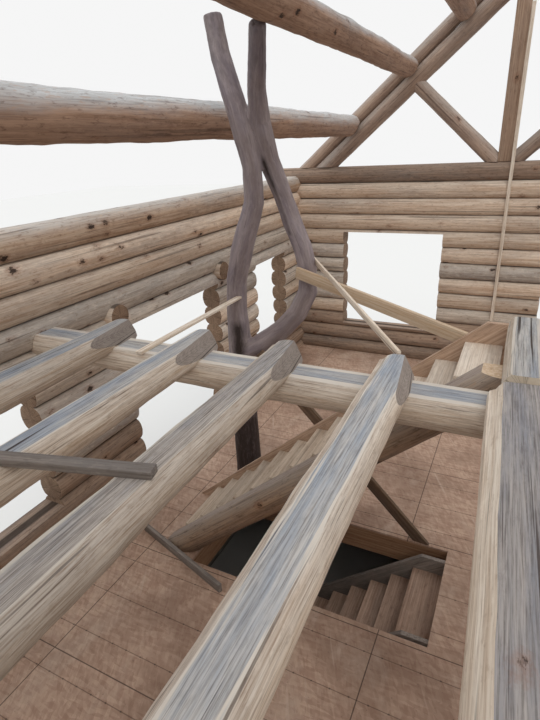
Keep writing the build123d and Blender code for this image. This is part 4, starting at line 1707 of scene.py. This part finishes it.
@dataclass
class Stairs(Assembly):
    """The upper flight on a half log and a side board, and the lower flight into the cellar."""

    rise: float = 0.17857
    going: float = 0.2085
    lap: float = 0.025
    top_x: float = 0.316
    top_tread_end: float = 0.379
    risers: int = 14
    pale_treads: int = 3
    stringer_y: float = -0.983
    stringer_radius: float = 0.14
    stringer_face: float = -0.903
    stringer_drop: float = 0.192
    stringer_spare: tuple[float, float] = (0.7, 0.5)
    stringer_end: float = 0.412
    stringer_flat: float = 0.122
    stringer_top: float = 2.44
    board_y: float = -0.243
    thick: float = 0.04
    ease: float = 0.005
    well_right: float = 0.156
    lower_near: float = -1.09
    lower_far: float = -0.203
    lower_rise: float = 0.1775
    lower_going: float = 0.212
    lower_gap: float = 0.005
    lower_top_tread: float = 0.296
    lower_risers: int = 13
    lower_ease: float = 0.004

    @property
    def foot_x(self) -> float:
        """Front of the lowest tread."""
        return self.top_x - (self.risers - 1) * self.going

    def build(self) -> None:
        """Build both flights."""
        self._stringer()
        self._treads()
        board = dress_node("upper_flight_side_board", self.finishes.tanned)
        write_grain(board, sloped("upper_flight_side_board"), 0.7, 3.0)
        self._lower_treads()
        stringers = dress_node("lower_flight_stringers", self.finishes.grey)
        write_grain(stringers, sloped("lower_flight_stringers"), 0.5, 11.0)

    def _axis(self, x: float) -> Vector:
        """A point of the half log's axis."""
        return Vector((x, self.stringer_y, self._nosing(x) - self.stringer_drop))

    def _nosing(self, x: float) -> float:
        """Level of the nosing line."""
        return self.plan.deck + self.rise + self.rise / self.going * (x - self.foot_x)

    def _stringer(self) -> None:
        """The half log that carries the treads' near ends, cut flat along its slope."""
        below, past = self.stringer_spare
        slope = Vector((-self.rise, 0, self.going)).normalized()
        crown = Vector((0, 0, self._nosing(0) - self.stringer_drop)) + slope * self.stringer_flat
        log = Log(self._axis(self.foot_x - below), self._axis(self.top_x + past), self.stringer_radius,
                  self.stringer_radius, facets=36, ring_gap=0.12, swell=0.008, cuts=[
                      Cut(Vector((0, self.stringer_face, 0)), Vector((0, 1, 0)), Face.HEWN),
                      Cut(crown, slope, Face.END),
                      level_cut(self.plan.deck, DOWN),
                      Cut(Vector((self.stringer_end, 0, 0)), Vector((1, 0, 0))),
                      level_cut(self.plan.deck + self.stringer_top, UP, Face.HEWN)])
        piece = log.build(self.chance, [self.finishes.stringer, self.finishes.rafter, self.finishes.board])
        place(join([piece], "stringer_half_log"), Slot.SAWN, "upper_flight_log_stringer")

    def _treads(self) -> None:
        """Thirteen plank treads, the top one wider and the upper ones paler."""
        treads = []
        count = self.risers - 1
        for k in range(count):
            front = self.foot_x + k * self.going
            back = front + self.going + self.lap if k < count - 1 else self.top_tread_end
            x = (front + back) / 2
            z = self.plan.deck + (k + 1) * self.rise - self.thick / 2
            plank = Plank(Vector((x, self.stringer_face, z)), Vector((x, self.board_y, z)), back - front,
                          self.thick, UP, ease=self.ease)
            pale = k >= count - self.pale_treads
            treads.append(plank.build(self.chance, self.finishes.tread if pale else self.finishes.trodden))
        place(join(treads, "upper_tread_planks"), Slot.SAWN, "upper_flight_treads")

    def _lower_treads(self) -> None:
        """Twelve plank treads down to the cellar, the top one wider."""
        treads = []
        for k in range(1, self.lower_risers):
            front = self.well_right - self.lower_top_tread - (k - 1) * self.lower_going
            wide = (self.lower_top_tread if k == 1 else self.lower_going) - self.lower_gap
            x = front + wide / 2
            z = self.plan.deck - k * self.lower_rise - self.thick / 2
            plank = Plank(Vector((x, self.lower_near, z)), Vector((x, self.lower_far, z)), wide,
                          self.thick, UP, ease=self.lower_ease)
            treads.append(plank.build(self.chance, self.finishes.lower))
        place(join(treads, "lower_tread_planks"), Slot.SAWN, "lower_flight_treads")


@dataclass
class Floor(Assembly):
    """Deck panels, the joists under them and the cellar walls."""

    joist_tone: float = 0.35

    def build(self) -> None:
        """Dress the floor and the foundation."""
        for name in ("near_floor_deck", "far_floor_deck", "stairwell_floor_deck"):
            dress_node(name, self.finishes.panel)
        for name in ("foundation_end_walls", "foundation_side_walls"):
            dress_node(name, self.finishes.concrete)
        for name, along in (("floor_joists", Vector((1, 0, 0))), ("stairwell_headers", Vector((0, 1, 0)))):
            timber = dress_node(name, self.finishes.brown)
            write_grain(timber, aim(Vector((0, 0, 0)), along), self.joist_tone, self.chance.uniform(0, 30))


@dataclass
class Temporary(Assembly):
    """Stays that hold the tree post, the lath on the gable and the loose boards."""

    loft: float = 2.5
    thick: float = 0.04
    stay_wide: float = 0.11
    lath_thick: float = 0.022
    beam_face: float = -0.2027
    joist_face: float = -1.0727

    def build(self) -> None:
        """Dress the stays and boards."""
        self._stays()
        self._boards()
        lath = dress_node("king_post_lath", self.finishes.cream)
        write_grain(lath, aim(*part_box("king_post_lath")), 0.5, self.chance.uniform(0, 30))

    def _over_deck(self, x: float, y: float, z: float) -> Vector:
        """A point by its height over the deck."""
        return Vector((x, y, self.plan.deck + z))

    def _stays(self) -> None:
        """The two sloping stays from the tree's fork, the level lath behind it and the brace at its foot."""
        point = self._over_deck
        toward = Vector((0, -1, 0))
        level = Plank(point(-1.54, 0.268, 2.65), point(0.106, -0.188, 2.32), self.stay_wide, self.thick,
                      Vector((0.27, 1, 0)), cuts=[Cut(Vector((0, self.beam_face, 0)), toward)])
        thin = Plank(point(-1.445, 0.472, 2.745), point(-0.204, -1.103, self.loft - 0.01), 0.05,
                     self.lath_thick, Vector((0.778, 0.628, 0)),
                     cuts=[Cut(Vector((0, self.joist_face, 0)), toward)])
        across = Plank(point(-2.145, -1.438, 2.381), point(-2.145, 0.148, 2.381), 0.06, self.lath_thick, UP)
        brace = Plank(point(-1.95, 0.15, 1.78), point(-0.044, -0.023, -0.06), self.stay_wide, self.thick,
                      Vector((0, 1, 0)), cuts=[level_cut(self.plan.deck, DOWN)])
        # The brace's dark board is painted shade
        looks = self.finishes
        stays = [board.build(self.chance, finish) for board, finish in (
            (level, looks.board), (thin, looks.cream), (across, looks.cream), (brace, looks.darkening))]
        place(join(stays, "stay_boards"), Slot.SAWN, "tree_post_stays")

    def _boards(self) -> None:
        """The board laid over two joists and the loose one on the floor."""
        point = self._over_deck
        laid = Plank(point(-1.85, -3.02, self.loft + 0.02), point(-0.905, -2.775, self.loft + 0.02), 0.07,
                     self.thick, UP)
        loose = Plank(point(-2.875, -1.003, 0.045), point(-1.68, -1.383, 0.045), 0.09, self.thick,
                      Vector((0.318, 1, 0)))
        boards = [board.build(self.chance, self.finishes.grey) for board in (laid, loose)]
        place(join(boards, "laid_boards"), Slot.SAWN, "loose_boards")


@dataclass
class Stage:
    """A plain pale floor, soft studio light and the camera at the photograph's angle."""

    floor_size: float = 160.0
    floor_drop: float = 0.002
    floor_colour: str = "#dcdcda"
    sky: tuple = (0.95, 0.97, 1.0, 1.0)
    seen: float = 0.92
    sun_energy: float = 1.3
    sun_spread: float = 50.0
    sun_colour: tuple = (1.0, 0.96, 0.9)
    sun_from: tuple = (0.5, -0.6, 0.85)
    camera_place: tuple = (0.396, -4.123, 6.1076)
    camera_turn: tuple = (66.5708, 2.8363, 26.2575)
    lens: float = 24.68
    sensor: float = 36.0

    def build(self) -> None:
        """Set the floor, the light and the camera."""
        self._floor()
        self._sky()
        self._sun()
        self._camera()

    def _floor(self) -> None:
        """The floor that the cabin stands on, a hair under its foot."""
        deselect()
        bpy.ops.mesh.primitive_plane_add(size=self.floor_size, location=(0, 0, -self.floor_drop))
        floor = bpy.context.object
        floor.name = "studio_floor"
        pale, tree = blank("Pale studio floor")
        shader = node(tree, "BsdfPrincipled", {"Base Color": linear(self.floor_colour), "Roughness": 0.9})
        node(tree, "OutputMaterial", {0: shader})
        floor.data.materials.append(pale)

    def _sky(self) -> None:
        """Even light from all round, and a plain pale backdrop in its place where it is seen."""
        world = bpy.data.worlds.new("Studio")
        bpy.context.scene.world = world
        world.use_nodes = True
        tree = world.node_tree
        tree.nodes.clear()
        rays = node(tree, "LightPath").outputs
        shiny = node(tree, "Math", {0: rays["Is Glossy Ray"], 1: rays["Is Transmission Ray"]},
                     operation="MAXIMUM")
        direct = node(tree, "Math", {0: rays["Is Camera Ray"], 1: shiny}, operation="MAXIMUM")
        soft = node(tree, "Background", {"Color": self.sky, "Strength": 1.0})
        plain = node(tree, "Background", {"Color": (1.0, 1.0, 1.0, 1.0), "Strength": self.seen})
        both = node(tree, "MixShader", {0: direct, 1: soft, 2: plain})
        node(tree, "OutputWorld", {0: both})

    def _sun(self) -> None:
        """A wide soft sun from over the near right corner."""
        sun = bpy.data.objects.new("soft_sun", bpy.data.lights.new("soft_sun", "SUN"))
        sun.data.energy = self.sun_energy
        sun.data.angle = math.radians(self.sun_spread)
        sun.data.color = self.sun_colour
        sun.rotation_euler = Vector(self.sun_from).to_track_quat("Z", "Y").to_euler()
        bpy.context.collection.objects.link(sun)

    def _camera(self) -> None:
        """The camera at loft height inside the near gable, looking down along the cabin."""
        camera = bpy.data.objects.new("camera", bpy.data.cameras.new("camera"))
        camera.location = self.camera_place
        camera.rotation_euler = [math.radians(turn) for turn in self.camera_turn]
        camera.data.lens = self.lens
        camera.data.sensor_width = self.sensor
        camera.data.clip_start = 0.02
        bpy.context.collection.objects.link(camera)
        bpy.context.scene.camera = camera
        bpy.context.scene.view_settings.view_transform = "Standard"


def main() -> None:
    """Build the cabin's looks and set the stage."""
    logging.basicConfig(level=logging.INFO, format="%(message)s")
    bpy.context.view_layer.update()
    common = (read_plan(), Finishes(), random.Random(7))
    for assembly in (Walls, Roof, Loft, TreePost, Stairs, Floor, Temporary):
        assembly(*common).build()
    Stage().build()


if __name__ == "__main__":
    main()
